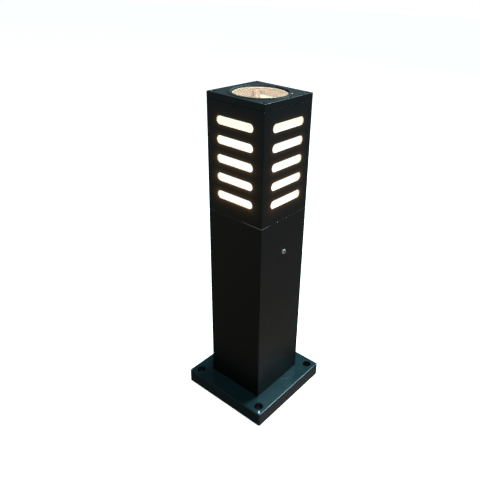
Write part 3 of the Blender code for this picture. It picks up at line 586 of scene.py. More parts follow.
def galvanised():
    """Zinc dipped sheet, with its spangle."""
    look = Look("galvanised_sheet", "galvanised_steel")
    spangle = look.cells(7.0, "Color")
    tone = look.node("ShaderNodeRGBToBW", {0: spangle}).outputs[0]
    fine = look.noise(0.8, 4.0, 0.7)
    colour = look.blend(tone, (0.36, 0.38, 0.40), (0.60, 0.62, 0.64))
    gloss = look.plus(look.ease(tone, 0.0, 1.0, 0.34, 0.50), look.ease(fine, 0.3, 0.7, 0.0, 0.06))
    look.set(base_color=colour, metallic=1.0, roughness=gloss)
    return look.set(normal=look.bump(look.plus(fine, tone), 0.012))


def mill_aluminium(name, glow):
    """The inside of the extrusions: dull aluminium with die lines, specks and broader patches, all in a
    warm tint that paints the colour of the lamplight. The glow is painted lamplight, for the light that
    goes to and fro between the walls."""
    look = Look(name, "black_powder_coat")
    lines = look.noise(0.7, 3.0, 0.6, look.stretched(1.0, 1.0, 0.02))
    specks = look.noise(0.9, 3.0, 0.8)
    broad = look.noise(8.0, 3.0, 0.6)
    colour = look.blend(look.ease(specks, 0.40, 0.66), (0.52, 0.40, 0.32), (0.80, 0.65, 0.52))
    colour = look.blend(look.ease(broad, 0.45, 0.75, 0.0, 0.35), colour, (0.76, 0.58, 0.46))
    look.set(base_color=colour, metallic=0.25, roughness=look.ease(lines, 0.3, 0.7, 0.42, 0.62))
    # The glow paints lamplight onto the walls.
    if glow:
        look.set(emission_color=colour, emission_strength=glow)
    return look.set(normal=look.bump(lines, 0.02, look.bump(specks, 0.02)))


def plastic(name, slot, colour, roughness, grain=0.5, glow=0.0):
    """Moulded plastic, rubber or nylon with a fine grain and slightly uneven tone."""
    look = Look(name, slot)
    fine = look.noise(grain, 3.0, 0.6)
    broad = look.noise(14.0 * grain, 3.0, 0.6)
    shade = tuple(0.84 * c for c in colour)
    tone = look.blend(look.ease(look.plus(fine, broad), 0.8, 1.2), colour, shade)
    gloss = look.ease(broad, 0.3, 0.7, roughness - 0.05, roughness + 0.07)
    look.set(base_color=tone, roughness=gloss, normal=look.bump(fine, 0.012))
    # A glow paints light into the surface.
    if glow:
        look.set(emission_color=tone, emission_strength=glow)
    return look


def porcelain():
    look = Look("glazed_porcelain", "porcelain")
    wave = look.noise(7.0, 2.0, 0.5)
    specks = look.ease(look.cells(2.2), 0.10, 0.04)
    rare = look.times(specks, look.ease(look.noise(3.0), 0.55, 0.6))
    colour = look.blend(wave, (0.84, 0.83, 0.78), (0.90, 0.89, 0.85))
    colour = look.blend(rare, colour, (0.40, 0.34, 0.26))
    look.set(base_color=colour, roughness=look.ease(wave, 0.3, 0.7, 0.10, 0.18), coat_weight=0.5)
    return look.set(coat_roughness=0.05, normal=look.bump(wave, 0.08))


def lit_acrylic():
    """Opal sheet lit from behind: brightest beside the lamp, dimmer and yellower towards the top."""
    look = Look("lit_opal_acrylic", "opal_acrylic")
    height = look.axis("Z")
    near_lamp = look.ease(height, 462.0 * MM, 444.0 * MM)
    low_end = look.ease(height, 372.0 * MM, 350.0 * MM)
    haze = look.noise(1.1, 4.0, 0.7)
    broad = look.noise(16.0, 2.0, 0.5)
    colour = look.blend(near_lamp, (0.97, 0.98, 0.78), (1.0, 0.99, 0.96))
    colour = look.blend(low_end, colour, (1.0, 0.96, 0.88))
    power = look.ease(near_lamp, 0.0, 1.0, 0.97, 1.04)
    power = look.times(power, look.ease(haze, 0.3, 0.7, 0.98, 1.02))
    power = look.times(power, look.ease(broad, 0.3, 0.7, 0.98, 1.02))
    look.set(base_color=(0.54, 0.52, 0.45), roughness=look.ease(haze, 0.3, 0.7, 0.28, 0.40))
    look.set(emission_color=colour, emission_strength=power)
    return look.set(normal=look.bump(haze, 0.01))


def lit_globe():
    """The lamp's opal globe, a little darker where it meets the housing."""
    look = Look("lit_opal_globe", "opal_polycarbonate")
    rim = look.ease(look.axis("Z"), GLOBE_RIM_Z * MM, (GLOBE_RIM_Z + 10.0) * MM)
    haze = look.noise(1.3, 4.0, 0.7)
    power = look.times(look.ease(rim, 0.0, 1.0, 1.3, 3.0), look.ease(haze, 0.3, 0.7, 0.96, 1.04))
    look.set(base_color=(0.95, 0.93, 0.87), roughness=look.ease(haze, 0.3, 0.7, 0.32, 0.44))
    return look.set(emission_color=(1.0, 0.92, 0.76), emission_strength=power)


def clear_glass():
    """Toughened glass with a faint film of dust on it."""
    look = Look("window_glass", "clear_glass")
    film = look.noise(9.0, 4.0, 0.7)
    specks = look.ease(look.noise(0.9, 4.0, 0.8), 0.66, 0.85, 0.0, 0.25)
    look.set(base_color=(0.97, 0.99, 0.98), transmission_weight=look.minus(1.0, specks))
    return look.set(roughness=look.ease(film, 0.5, 0.8, 0.0, 0.05))


def glass_edge():
    """The ground edge of the glass, which carries light up from inside."""
    look = Look("glass_ground_edge", "clear_glass")
    grind = look.noise(0.6, 4.0, 0.8)
    glow = look.blend(grind, (1.0, 0.88, 0.70), (1.0, 0.95, 0.85))
    look.set(base_color=(0.80, 0.82, 0.78), roughness=0.6, normal=look.bump(grind, 0.03))
    return look.set(emission_color=glow, emission_strength=look.ease(grind, 0.3, 0.7, 0.55, 0.85))


def insulation(name, slot, colour, stripe=None):
    """Extruded cable insulation. The earth wire's second colour winds round it as a stripe."""
    look = Look(name, slot)
    fine = look.noise(0.5, 3.0, 0.6)
    tone = look.blend(look.ease(fine, 0.3, 0.7, 0.0, 0.3), colour, tuple(0.75 * c for c in colour))
    if stripe:
        bands = look.node("ShaderNodeTexWave", {"Vector": look.stretched(1.0, 1.0, 0.6), "Scale": 60.0})
        tone = look.blend(look.ease(bands.outputs["Fac"], 0.62, 0.68), tone, stripe)
    look.set(base_color=tone, roughness=look.ease(fine, 0.3, 0.7, 0.38, 0.5))
    return look.set(normal=look.bump(fine, 0.02))


COAT = powder_coat("powder_coat", 0.36, 0.9, 0.22, 0.6)
CAP_COAT = powder_coat("powder_coat_cap", 0.36, 0.8, 0.25, 0.15)
CAST = cast_coat()
MILL = mill_aluminium("mill_aluminium", 0.0)
LIT_MILL = mill_aluminium("lit_mill_aluminium", 0.26)
# Painted lamplight: a glowing cream colour for the slot walls, the port bosses and the glass gasket's
# underside.
LIT_EDGE = plastic("lit_slot_edge", "black_powder_coat", (0.84, 0.74, 0.60), 0.5, 0.8, 0.50)
BARE = metal("cut_aluminium", "black_powder_coat", (0.80, 0.80, 0.79), (0.50, 0.50, 0.50), 0.30)
ZINC = metal("zinc_plate", "zinc_plated_steel", (0.62, 0.64, 0.68), (0.50, 0.48, 0.40), 0.30)
# Painted highlight: pale metal for the glint on one side of the bezel screw's head.
GLINT_METAL = metal("painted_glint", "stainless_steel", (0.92, 0.90, 0.84), (0.75, 0.73, 0.68), 0.40, 0.8)
GLINT_METAL.set(metallic=0.35)  # dull enough to take its tone from the room and not from one light
DULL = metal("dull_stainless", "stainless_steel", (0.34, 0.33, 0.27), (0.25, 0.24, 0.19), 0.72, 0.8)
# The emission is painted light that brightens the lock screw's head evenly.
DULL.set(metallic=0.35, emission_color=(0.90, 0.88, 0.78), emission_strength=0.08)
BLACK_OXIDE = metal("black_oxide", "black_steel", (0.022, 0.022, 0.024), (0.012, 0.012, 0.013), 0.38)
# Painted light: the black cap screws' shanks, seen in the port slots, are pale and warm for the lamplight
# on them.
LIT_SHANK = metal("painted_lit_shank", "black_steel", (0.86, 0.80, 0.62), (0.70, 0.62, 0.44), 0.28)
BRASS = metal("brass", "brass", (0.78, 0.56, 0.24), (0.45, 0.29, 0.12), 0.26)
NICKEL = metal("nickel_plate", "nickel_plated_brass", (0.70, 0.66, 0.58), (0.52, 0.47, 0.38), 0.20)
GALVANISED = galvanised()
PORCELAIN = porcelain()
ACRYLIC = lit_acrylic()
GLOBE = lit_globe()
WHITE = plastic("white_plastic", "white_plastic", (0.80, 0.80, 0.77), 0.40)
NYLON = plastic("grey_nylon", "grey_nylon", (0.27, 0.28, 0.29), 0.52)
RUBBER = plastic("black_rubber", "black_rubber", (0.012, 0.012, 0.013), 0.70, 0.8)
GLASS = clear_glass()
GLASS_EDGE = glass_edge()
BROWN_WIRE = insulation("brown_wire", "brown_insulation", (0.18, 0.07, 0.025))
BLUE_WIRE = insulation("blue_wire", "blue_insulation", (0.03, 0.09, 0.38))
EARTH_WIRE = insulation("earth_wire", "green_insulation", (0.10, 0.34, 0.04), (0.80, 0.68, 0.05))


# ---- pieces ----


def node_body(node):
    return frame["nodes"][node]["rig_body"]


def added(data):
    """A mesh, light or camera as an object in the scene."""
    obj = bpy.data.objects.new(data.name, data)
    bpy.context.scene.collection.objects.link(obj)
    return obj


def settle(obj):
    """Applies the modifiers, and sets which edges look sharp."""
    graph = bpy.context.evaluated_depsgraph_get()
    baked = bpy.data.meshes.new_from_object(obj.evaluated_get(graph))
    obj.modifiers.clear()
    obj.data = baked
    baked.shade_smooth()
    baked.set_sharp_from_angle(angle=math.radians(32.0))


def bevelled(obj, width, angle):
    bevel = obj.modifiers.new("ease", "BEVEL")
    bevel.width, bevel.segments = width * MM, 2
    bevel.limit_method, bevel.angle_limit = "ANGLE", math.radians(angle)


def piece(node, mesh, looks, union=(), minus=(), ease=0.0, rule=None):
    """A piece that stands for the CAD node and rides on its body.

    Other shapes are joined to it and cut from it, and its edges get a small bevel first. With more
    than one look, rule(centre, normal) gives the number of the look of a face."""
    looks = looks if isinstance(looks, (list, tuple)) else [looks]
    obj = added(mesh)
    obj.name = f"{node}_fine"
    if ease:
        bevelled(obj, ease, 50)
    cutters = []
    for operation, shapes in (("UNION", union), ("DIFFERENCE", minus)):
        for shape in shapes:
            cutter = added(shape)
            boolean = obj.modifiers.new(shape.name, "BOOLEAN")
            boolean.operation, boolean.solver, boolean.object = operation, "EXACT", cutter
            cutters.append(cutter)
    settle(obj)
    for cutter in cutters:
        bpy.data.objects.remove(cutter)
    obj.data.materials.clear()
    for look in looks:
        obj.data.materials.append(look.material)
    for face in obj.data.polygons:
        face.material_index = rule(face.center / MM, face.normal) if rule else 0
    smooth = obj.modifiers.new("normals", "WEIGHTED_NORMAL")
    smooth.keep_sharp = True
    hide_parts(node)
    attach(obj, node_body(node))


def screws(node, places, looks, sizes, rule=None, **more):
    """The same screw at each place, numbered from 1."""
    for index, place in enumerate(places, 1):
        piece(f"{node}_{index}", moved(screw(node, *sizes, **more), place), looks, rule=rule)


def dressed(look, ease, *nodes):
    """CAD nodes that stay, with a finish. Their edges are eased, or with no ease all is made rounder."""
    for node in nodes:
        obj = frame["nodes"][node]
        weld = obj.modifiers.new("weld", "WELD")
        weld.merge_threshold = 0.02 * MM
        if ease:
            flat = obj.modifiers.new("flat", "DECIMATE")
            flat.decimate_type, flat.angle_limit = "DISSOLVE", math.radians(1.0)
            bevelled(obj, ease, 40)
            obj.modifiers.new("normals", "WEIGHTED_NORMAL")
        else:
            smooth = obj.modifiers.new("rounder", "SUBSURF")
            smooth.levels = smooth.render_levels = 1
        obj.data.materials.clear()
        obj.data.materials.append(look.material)


def drilled(radius, x, y, low, high, chamfer=0.0, sides=SMALL):
    """A round cutter from low up through high, with a chamfer at its top."""
    profile = [(radius, low - OVER), (radius, high - chamfer)]
    if chamfer:
        profile.append((radius + chamfer, high))
    profile.append((radius + chamfer, high + OVER))
    return moved(turned("hole", profile, sides), at(x, y, 0.0))


# ---- foot ----


def foot():
    """The cast dish with its bosses, ribs and holes."""
    half, steps = BASE_SIDE / 2, 8
    ceiling, bottom = BASE_HEIGHT - BASE_TOP_WALL, 0.6
    inner = rounded_square(half - BASE_SKIRT, BASE_CORNER, steps)
    rings = [(rounded_square(half - BASE_SKIRT - 1.5, BASE_CORNER, steps), ceiling)]
    rings += [(inner, ceiling - 1.5), (inner, bottom)]
    rings += [(rounded_square(half - BASE_SKIRT + bottom, BASE_CORNER, steps), 0.0)]
    rings += [(rounded_square(half - bottom, BASE_CORNER, steps), 0.0)]
    rings += [(rounded_square(half, BASE_CORNER, steps), bottom)]
    for step in range(7):
        angle = math.radians(15.0 * step)
        inset, drop = BASE_FILLET * (1 - math.cos(angle)), BASE_FILLET * (1 - math.sin(angle))
        rings.append((rounded_square(half - inset, BASE_CORNER - 0.6 * inset, steps), BASE_HEIGHT - drop))

    boss_inner, boss_outer = ANCHOR_AT - 13.0, half - BASE_SKIRT / 2
    additions = []
    for sx, sy in CORNERS:
        xs, ys = sorted((sx * boss_inner, sx * boss_outer)), sorted((sy * boss_inner, sy * boss_outer))
        low, high = (xs[0], ys[0], 0.5), (xs[1], ys[1], ceiling + OVER)
        additions.append(block("boss", low, high, 0.8))
    for quarter in range(4):
        rib = block("rib", (24.0, -2.0, 6.0), (boss_outer, 2.0, ceiling + OVER), 0.6)
        additions.append(moved(rib, spun(90.0 * quarter, "Z")))

    top = BASE_HEIGHT
    holes = []
    for sx, sy in CORNERS:
        holes.append(drilled(ANCHOR_RADIUS, sx * ANCHOR_AT, sy * ANCHOR_AT, 0.0, top, 0.5, ROUND))
        holes.append(drilled(PORT_RADIUS + 0.1, sx * PORT_AT, sy * PORT_AT, 0.0, top))
    holes += [drilled(TRAY_SCREW[0] + GAP, x, TRAY_SCREW_Y, 0.0, top) for x in TRAY_SCREW_X]
    holes.append(drilled(GLAND_HOLE, 0.0, 0.0, 0.0, top, 0.3, ROUND))
    holes.append(drilled(EARTH_HOLE, *EARTH_AT, 0.0, top, 0.2))
    piece("base_casting", stack("foot", rings), CAST, additions, [merged("holes", holes)])

    places = [at(x, y, ceiling - GAP) @ spun(180, "X") for x, y in PORTS]
    screws("base_screw", places, ZINC, (3.8, 18.0, 2.0, 3.0, 2.6))
    places = [at(x, TRAY_SCREW_Y, top + TRAY_THICK + 2 * GAP) for x in TRAY_SCREW_X]
    screws("tray_screw", places, ZINC, (TRAY_SCREW[1], 9.0, TRAY_SCREW[0], 3.5, 2.8))


# ---- post ----


def extrusion(name, z0, z1):
    return plate(name, [rounded_square(HALF, OUTER_CORNER), extrusion_inner()], z0, z1)


def extrusion_rule(ends):
    """Coated outside, mill finish inside, and bare metal on the sawn ends."""

    def rule(centre, normal):
        if abs(normal.z) > 0.5 and (centre.z < ends[0] + 1.0 or centre.z > ends[1] - 1.0):
            return 2
        return 1 if max(abs(centre.x), abs(centre.y)) < HALF - 1.0 else 0

    return rule


def post():
    radius, wide = LOCK_THREAD + GAP, LOCK_THREAD + 0.7
    hole = turned("lock_hole", [(radius, -3.0), (radius, 1.1), (wide, 1.5), (wide, 3.0)])
    hole = moved(hole, at(HALF - 1.5, LOCK_Y, LOCK_Z) @ spun(90, "Y"))
    tube = extrusion("post", *TUBE_Z)
    piece("post_tube", tube, [COAT, MILL, BARE], minus=[hole], ease=0.25, rule=extrusion_rule(TUBE_Z))

    mesh = screw("lock_screw", 3.8, 4.1, LOCK_THREAD, 2.5, height=2.2, sides=ROUND)
    mesh = moved(mesh, at(HALF + GAP, LOCK_Y, LOCK_Z) @ spun(90, "Y"))

    # Painted shade: the socket is black for the shade inside it.
    def shaded_socket(centre, normal):
        return 1 if centre.x > HALF and math.hypot(centre.y - LOCK_Y, centre.z - LOCK_Z) < 1.4 else 0

    piece("lock_screw", mesh, [DULL, BLACK_OXIDE], rule=shaded_socket)


def inside_post():
    """What is bolted inside the post: gland, earth bolt, tray, terminal block and wires."""
    dressed(NYLON, 0.4, "gland_body", "gland_dome_nut", "gland_locknut")
    dressed(RUBBER, 0.2, "gland_seal")
    dressed(RUBBER, 0.4, "shelf_grommet")
    dressed(BRASS, 0.2, "earth_bolt", "earth_washer", "earth_nut")
    dressed(BRASS, 0.2, *(f"terminal_barrel_{index}" for index in (1, 2, 3)))
    dressed(NICKEL, 0.15, "earth_lug")
    dressed(GALVANISED, 0.4, "gear_tray")
    dressed(WHITE, 0.5, "terminal_block")
    dressed(BROWN_WIRE, 0.0, "wire_live")
    dressed(BLUE_WIRE, 0.0, "wire_neutral")
    dressed(EARTH_WIRE, 0.0, "wire_earth")
    places = [at(x, BLOCK_FRONT_Y - GAP, BLOCK_MIDDLE_Z) @ spun(90, "X") for x in BLOCK_SCREW_X]
    screws("terminal_screw", places, ZINC, (2.8, 21.5, 1.5, 2.0, 1.9))


# ---- lamp holder and lamp ----


def holder():
    """Glazed porcelain round a brass shell that is rolled with the lamp's thread."""
    low, high = HOLDER_Z
    floor_low, floor_high = HOLDER_FLOOR
    profile = [(2.3, floor_high), (HOLDER_WELL, floor_high), (HOLDER_WELL, high), (18.0, high)]
    profile += [(HOLDER_RADIUS, high - 3.0), (HOLDER_RADIUS, low + 1.0), (HOLDER_RADIUS - 1.0, low)]
    profile += [(10.2, low), (10.2, floor_low), (2.3, floor_low)]
    body = turned("holder", eased(profile, 0.8, steps=3), ROUND, through=True)
    holes = [drilled(2.0 + GAP, x, 0.0, low, low + 9.0) for x in HOLDER_SCREW_X]
    piece("lamp_holder", body, PORCELAIN, minus=[merged("holes", holes)])

    outer, inner, seat = HOLDER_WELL - 0.4, HOLDER_WELL - 1.0, floor_high + GAP
    rings = rounds([(9.0, seat), (outer, seat), (outer, high - 4.0), (inner, high - 4.0)])
    rings += reversed(thread(inner + 0.45, seat + 2.0, high - 4.6, 5.0, 0.45, ROUND))
    rings += rounds([(inner, seat + 0.6), (9.0, seat + 0.6)])
    piece("holder_shell", stack("shell", rings, through=True), BRASS)
    dressed(BRASS, 0.2, "holder_contact")
    places = [at(x, 0.0, SHELF_Z - GAP) @ spun(180, "X") for x in HOLDER_SCREW_X]
    screws("holder_screw", places, ZINC, (3.5, 10.5, 2.0, 3.0, 2.4))


def fluted(radius, flutes, depth, sides):
    """A circle with shallow flutes cut in it."""
    points = []
    for k in range(sides):
        angle = 2 * math.pi * k / sides
        reach = radius - depth * (0.5 - 0.5 * math.cos(flutes * angle))
        points.append((reach * math.cos(angle), reach * math.sin(angle)))
    return points


def lamp():
    """An LED bulb: rolled screw cap, fluted housing, opal globe."""
    tip, top = LAMP_TIP_Z, LAMP_CAP_TOP_Z
    bore = 12.6 - 0.8  # the thread's root less the wall
    rings = rounds([(4.0, tip), (4.8, tip + 1.2), (9.5, tip + 3.0), (12.2, tip + 4.6)])
    rings += thread(13.15, tip + 5.2, top - 1.6, 5.0, 0.6, ROUND)
    rings += rounds([(13.2, top - 0.8), (13.2, top), (bore, top), (bore, tip + 6.0), (8.0, tip + 4.4)])

    def tip_rule(centre, normal):
        return 1 if centre.z < tip + 3.0 and math.hypot(centre.x, centre.y) > 4.9 else 0

    piece("lamp_cap", stack("lamp_cap", rings), [NICKEL, RUBBER], rule=tip_rule)

    low, rim = top + GAP, GLOBE_RIM_Z - GAP
    centre = LAMP_TOP_Z - GLOBE_RADIUS
    inner_rim = math.sqrt(GLOBE_RADIUS**2 - (centre - GLOBE_RIM_Z) ** 2)
    outer = [(13.6, low, 0.0), (14.6, low + 2.0, 0.0), (15.6, low + 5.0, 0.0), (16.9, low + 9.0, 0.9)]
    outer += [(19.9, low + 18.0, 1.1), (22.9, low + 27.0, 1.1), (inner_rim - 0.4, rim - 3.0, 0.5)]
    outer += [(inner_rim + 0.5, rim - 1.2, 0.0), (inner_rim + 0.5, rim, 0.0)]
    sides = 2 * SMOOTH
    rings = [(fluted(radius, 24, depth, sides), z) for radius, z, depth in outer]
    inner = [(inner_rim - 1.2, rim), (21.2, low + 27.0), (15.2, low + 9.0), (12.0, low + 2.0), (12.0, low)]
    rings += rounds(inner, sides)
    piece("lamp_housing", stack("lamp_housing", rings, through=True), WHITE)

    skin = 1.2
    first = math.degrees(math.asin((GLOBE_RIM_Z - centre) / GLOBE_RADIUS))
    profile = arc(GLOBE_RADIUS, first, 89.0, 24, (0.0, centre))
    profile += arc(GLOBE_RADIUS - skin, 88.0, first - 0.5, 24, (0.0, centre))[:-1]
    profile.append((inner_rim - skin, GLOBE_RIM_Z))
    piece("lamp_globe", turned("lamp_globe", profile, SMOOTH), GLOBE)


# ---- head ----


def slot_cutters():
    """Five round-ended slots a side, with a small rounded lip at the outer face."""
    depths = ((INNER - OVER, -0.2), (HALF - 0.5, -0.2), (HALF - 0.2, -0.1))
    depths += ((HALF, 0.2), (HALF + OVER, 0.2))
    cutters = []
    for side in range(4):
        for row in range(SLOT_COUNT):
            rings = []
            for depth, grow in depths:
                rings.append((stadium(SLOT_LENGTH + 2 * grow, SLOT_HEIGHT + 2 * grow), depth))
            place = spun(90.0 * side, "Z") @ at(0.0, 0.0, SLOT_TOP_Z - row * SLOT_PITCH) @ spun(90, "X")
            cutters.append(moved(stack("slot", rings), place))
    return merged("slots", cutters)


def head():
    """The slotted extrusion with its spigot, opal panels and gasket."""
    low, high = HOUSING_Z[0] - OVER, SPIGOT_Z[2] + GAP
    seat = block("seat", (-SEAT_HALF, -SEAT_HALF, low), (SEAT_HALF, SEAT_HALF, high))
    reach = (HOUSING_Z[0], HOUSING_Z[1] + GASKET_SINK)
    shell, ends = extrusion("head", *reach), extrusion_rule(reach)

    def cut(centre, normal):
        far, near = sorted((abs(centre.x), abs(centre.y)), reverse=True)
        in_slot = INNER < far < HALF - 0.6 and SLOT_TOP_Z + SLOT_HEIGHT > centre.z > SPIGOT_Z[2]
        in_port = near > PORT_AT - PORT_BOSS and far < INNER + 0.1 and far - near < 3.5
        # Slot walls and port bosses take the glowing cream look: painted lamplight from the panels.
        return 3 if in_slot or in_port else ends(centre, normal)

    # Inside, the walls take the glowing lit mill look: painted lamplight.
    looks = [COAT, LIT_MILL, BARE, LIT_EDGE]
    cutters = [seat, slot_cutters()]
    piece("louvre_housing", shell, looks, minus=cutters, ease=0.25, rule=cut)

    bottom, joint, top = SPIGOT_Z
    outlines = [eased(octagon(46.4, 77.0), 2.0), eased(octagon(44.4, 73.5), 2.0)]
    sleeve = plate("spigot", outlines, bottom, joint + 0.5)
    outlines = [rounded_square(SEAT_HALF - GAP, OUTER_CORNER), circle(36.0, SMOOTH)]
    outlines += [circle(PORT_RADIUS + 0.1, SMALL, port) for port in PORTS]
    piece("head_spigot", sleeve, GALVANISED, union=[plate("flange", outlines, joint, top)], ease=0.3)
    places = [at(x, y, joint - GAP) @ spun(180, "X") for x, y in PORTS]
    screws("spigot_screw", places, ZINC, (3.3, 14.0, 2.0, 2.5, 1.9))

    for side, (name, panel_top) in enumerate(PANEL_TOPS.items()):
        first, last = (-PANEL_HALF, PANEL_Y[0], top + GAP), (PANEL_HALF, PANEL_Y[1], panel_top)
        panel = block("panel", first, last, 0.4)
        piece(f"diffuser_{name}", moved(panel, spun(90.0 * side, "Z")), ACRYLIC)

    outlines = [rounded_square(HALF - 0.25, OUTER_CORNER), eased(octagon(45.4, 81.0), 2.0)]
    outlines += [circle(2.6, SMALL, port) for port in PORTS]
    sunk = GASKET_SINK + 0.03
    gasket = plate("gasket", outlines, HOUSING_Z[1] + sunk, CAP_Z[0] - sunk)
    piece("cap_gasket", gasket, RUBBER, ease=0.12)


# ---- cap and window ----


def cap():
    """The square cap with its stepped well for the window, and the four corner screws."""
    low, high = CAP_Z[0] - GASKET_SINK, CAP_Z[1]
    rings = [(rounded_square(CAP_HALF - 0.2, 0.6), low), (rounded_square(CAP_HALF, 0.8), low + 0.2)]
    for step in range(5):
        angle = math.radians(22.5 * step)
        inset, drop = CAP_EDGE * (1 - math.cos(angle)), CAP_EDGE * (1 - math.sin(angle))
        rings.append((rounded_square(CAP_HALF - inset, 0.8 - inset), high - drop))
    profile = [(WINDOW_RADIUS + 0.4, low - OVER), (WINDOW_RADIUS + 0.4, low), (WINDOW_RADIUS, low + 0.4)]
    profile += [(WINDOW_RADIUS, LEDGE_Z), (WELL_RADIUS, LEDGE_Z), (WELL_RADIUS, RECESS_Z)]
    profile += [(RECESS_RADIUS, RECESS_Z), (RECESS_RADIUS, high - 0.25), (RECESS_RADIUS + 0.25, high)]
    profile.append((RECESS_RADIUS + 0.25, high + OVER))
    holes = []
    shank, head_radius, seat = PORT_RADIUS + 0.1, CAP_HEAD + GAP, high - CAP_HEAD_SINK
    for x, y in PORTS:
        sink = [(shank, low - OVER), (shank, seat - head_radius + shank), (head_radius, seat)]
        sink += [(head_radius, high - 0.1), (head_radius + 0.1, high), (head_radius + 0.1, high + OVER)]
        holes.append(moved(turned("sink", sink), at(x, y, 0.0)))
    holes.append(drilled(BEZEL_SCREW[0] + GAP, *BEZEL_SCREW_AT, RECESS_Z - 4.5, high))
    cutters = [turned("well", profile, SMOOTH), merged("holes", holes)]

    def coated(centre, normal):
        inside = max(abs(centre.x), abs(centre.y)) < HALF - 1.0
        if not inside or centre.z > RECESS_Z - 0.1:
            return 0
        # The wall of the window's hole takes the glowing lit mill look: painted lamplight.
        return 2 if math.hypot(centre.x, centre.y) < WELL_RADIUS and centre.z > low + 0.1 else 1

    piece("top_cap", stack("cap", rings), [CAP_COAT, MILL, LIT_MILL], minus=cutters, rule=coated)

    # Below the head the shank takes the painted lit look.
    def lit_shank_rule(centre, normal):
        return 1 if centre.z < seat - CAP_HEAD else 0

    places, looks = [at(x, y, seat) for x, y in PORTS], [BLACK_OXIDE, LIT_SHANK]
    screws("cap_screw", places, looks, (CAP_HEAD, 16.0, 2.0, 2.5), lit_shank_rule, sides=ROUND)


def window():
    """Glass in its rubber channel, held down by a flat ring that a small screw locks."""
    low, high, lip = LEDGE_Z + GAP, RECESS_Z - 0.1, 0.7
    outer, wall = WELL_RADIUS - GAP, WELL_RADIUS - 0.9
    profile = [(WINDOW_RADIUS, low), (outer, low), (outer, high), (WINDOW_RADIUS, high)]
    profile += [(WINDOW_RADIUS, high - lip), (wall, high - lip), (wall, low + lip)]
    profile.append((WINDOW_RADIUS, low + lip))

    def lit_below(centre, normal):
        # The channel's lower faces glow cream: painted lamplight from below.
        return 1 if centre.z < high - lip - 0.1 else 0

    channel = turned("gasket", eased(profile, 0.2), SMOOTH, through=True)
    piece("glass_gasket", channel, [RUBBER, LIT_EDGE], rule=lit_below)

    low, high, radius, chamfer = LEDGE_Z + 1.3, RECESS_Z - 1.1, WELL_RADIUS - 1.2, 0.4
    profile = [(radius - chamfer, low), (radius, low + chamfer), (radius, high - chamfer)]
    profile.append((radius - chamfer, high))

    def edge_rule(centre, normal):
        return 0 if abs(normal.z) > 0.95 else 1

    piece("window_glass", turned("glass", profile, SMOOTH), [GLASS, GLASS_EDGE], rule=edge_rule)

    low, high = RECESS_Z + GAP, BEZEL_TOP_Z
    outer, inner = RECESS_RADIUS - 0.2, WELL_RADIUS - 1.7
    slope = 0.8
    profile = [(inner, low), (outer, low), (outer, high - 0.25), (outer - 0.25, high)]
    profile += [(inner + slope + 0.6, high), (inner + slope, high), (inner, high - slope)]
    shank, head_radius = BEZEL_SCREW[0] + GAP, BEZEL_SCREW[1] + GAP
    sink = [(shank, low - OVER), (shank, high - head_radius + shank), (head_radius, high)]
    sink.append((head_radius, high + OVER))
    ring = turned("bezel", profile, SMOOTH, through=True)
    hole = moved(turned("sink", sink, SMALL), at(*BEZEL_SCREW_AT, 0.0))

    # The inner part of the ring's top is black rubber, a dark band round the glass.
    def dark_inner_rim(centre, normal):
        return 1 if math.hypot(centre.x, centre.y) < inner + slope + 0.6 else 0

    piece("bezel_ring", ring, [CAP_COAT, RUBBER], minus=[hole], rule=dark_inner_rim)

    # Painted highlight: the head's top on its +X side is pale metal, the rest black.
    def glint_side(centre, normal):
        return 0 if centre.x - BEZEL_SCREW_AT[0] > 0.2 and centre.z > high - 0.5 else 1

    mesh = screw("bezel_screw", BEZEL_SCREW[1], 6.0, BEZEL_SCREW[0], 2.0)
    mesh = moved(mesh, at(*BEZEL_SCREW_AT, high - 0.05))
    piece("bezel_screw", mesh, [GLINT_METAL, BLACK_OXIDE], rule=glint_side)


# ---- floor, lights and camera ----


def floor():
    """A pale floor that glows a little, so that it stays as bright as the backdrop."""
    look = Look("pale_floor", "floor")
    grain = look.noise(40.0, 3.0, 0.5)
    tone = look.blend(grain, (0.90, 0.90, 0.90), (0.94, 0.94, 0.94))
    look.set(base_color=tone, roughness=0.9, emission_color=(1.0, 1.0, 1.0), emission_strength=0.93)
    obj = added(plate("studio_floor", [circle(9000.0, SMOOTH)], -3.0, -1.0))
    obj.data.materials.append(look.material)
    obj.visible_glossy = obj.visible_diffuse = obj.visible_transmission = False


def sky():
    """White for the camera. What the object mirrors is a cool sky above and a dim ground below."""
    world = bpy.data.worlds.new("studio")
    bpy.context.scene.world = world
    world.use_nodes = True
    world.node_tree.nodes.clear()
    nodes = Nodes(world.node_tree)

    def graded(value, stops):
        ramp = nodes.node("ShaderNodeValToRGB", {0: value})
        while len(ramp.color_ramp.elements) < len(stops):
            ramp.color_ramp.elements.new(0.5)
        for element, (place, colour) in zip(ramp.color_ramp.elements, stops):
            element.position, element.color = place, (*colour, 1.0)
        return ramp.outputs[0]

    coordinates = nodes.node("ShaderNodeTexCoord").outputs["Generated"]
    direction = nodes.node("ShaderNodeSeparateXYZ", {0: coordinates}).outputs
    height, depth = direction["Z"], nodes.times(direction["Z"], -1.0)
    across = nodes.ease(direction["X"], -0.45, 0.45)
    ground = nodes.blend(across, graded(depth, GROUND_LEFT), graded(depth, GROUND_RIGHT))
    mirrored = nodes.blend(nodes.ease(height, -0.05, 0.05), ground, graded(height, SKY))
    dim = nodes.node("ShaderNodeBackground", {0: mirrored, 1: 1.0}).outputs[0]
    white = nodes.node("ShaderNodeBackground", {0: (1.0, 1.0, 1.0), 1: 1.0}).outputs[0]
    to_camera = nodes.node("ShaderNodeLightPath").outputs["Is Camera Ray"]
    shown = nodes.node("ShaderNodeMixShader", {0: to_camera, 1: dim, 2: white}).outputs[0]
    nodes.node("ShaderNodeOutputWorld", {"Surface": shown})


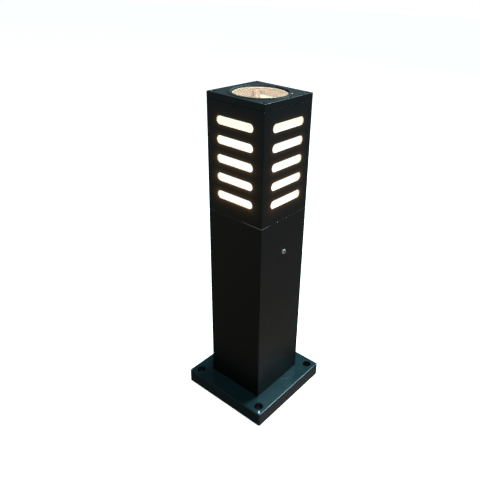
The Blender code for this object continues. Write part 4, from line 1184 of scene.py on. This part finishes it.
# Colours that the object mirrors: from the horizon up, and from the horizon down on the -X and +X sides
SKY = (
    (0.0, (0.10, 0.17, 0.19)),
    (0.25, (0.16, 0.25, 0.28)),
    (0.6, (0.02, 0.06, 0.07)),
    (1.0, (0.02, 0.06, 0.07)),
)
GROUND_LEFT = (
    (0.0, (0.10, 0.20, 0.23)),
    (0.3, (0.14, 0.14, 0.13)),
    (0.5, (0.10, 0.09, 0.05)),
    (0.75, (0.02, 0.02, 0.03)),
)
GROUND_RIGHT = (
    (0.0, (0.07, 0.22, 0.26)),
    (0.3, (0.11, 0.10, 0.10)),
    (0.5, (0.16, 0.15, 0.14)),
    (0.75, (0.28, 0.26, 0.24)),
)


def lamp_light(name, kind, place, target, power, size, colour):
    data = bpy.data.lights.new(name, kind)
    data.energy, data.color = power, colour
    setattr(data, "size" if kind == "AREA" else "shadow_soft_size", size * MM)
    obj = added(data)
    obj.location = Vector(place) * MM
    obj.rotation_euler = (Vector(target) - Vector(place)).to_track_quat("-Z", "Y").to_euler()


def lights():
    """A cool softbox behind, a small one over the near corner, and the lamp's glow in the head."""
    cool, white, warm = (0.56, 0.90, 1.0), (1.0, 0.98, 0.92), (1.0, 0.82, 0.66)
    foot_middle, near_corner = (0.0, 0.0, 100.0), (77.0, -77.0, 23.0)
    lamp_light("back_softbox", "AREA", (220.0, 1050.0, 1600.0), foot_middle, 55.0, 480.0, cool)
    lamp_light("top_spot", "AREA", (420.0, -280.0, 1450.0), near_corner, 5.0, 110.0, white)
    lamp_light("head_glow", "POINT", (0.0, 0.0, 448.0), (0.0, 0.0, 0.0), 0.050, 24.0, warm)


def camera():
    """Its turn is given by its own right and down directions."""
    data = bpy.data.cameras.new("camera")
    data.lens, data.sensor_width = 38.60, 36.0
    data.shift_x, data.shift_y = -0.09655, -0.0293
    data.clip_start, data.clip_end = 0.01, 50.0
    obj = added(data)
    right, down = Vector((0.78546, 0.61738, 0.04351)), Vector((0.30977, -0.33130, -0.89123))
    turn = Matrix((right, -down, -right.cross(down))).transposed()
    obj.matrix_world = Matrix.Translation((0.44995, -0.52710, 0.65082)) @ turn.to_4x4()
    bpy.context.scene.camera = obj


foot()
post()
inside_post()
holder()
lamp()
head()
cap()
window()
floor()
sky()
lights()
camera()
bpy.context.scene.view_settings.view_transform = "Standard"
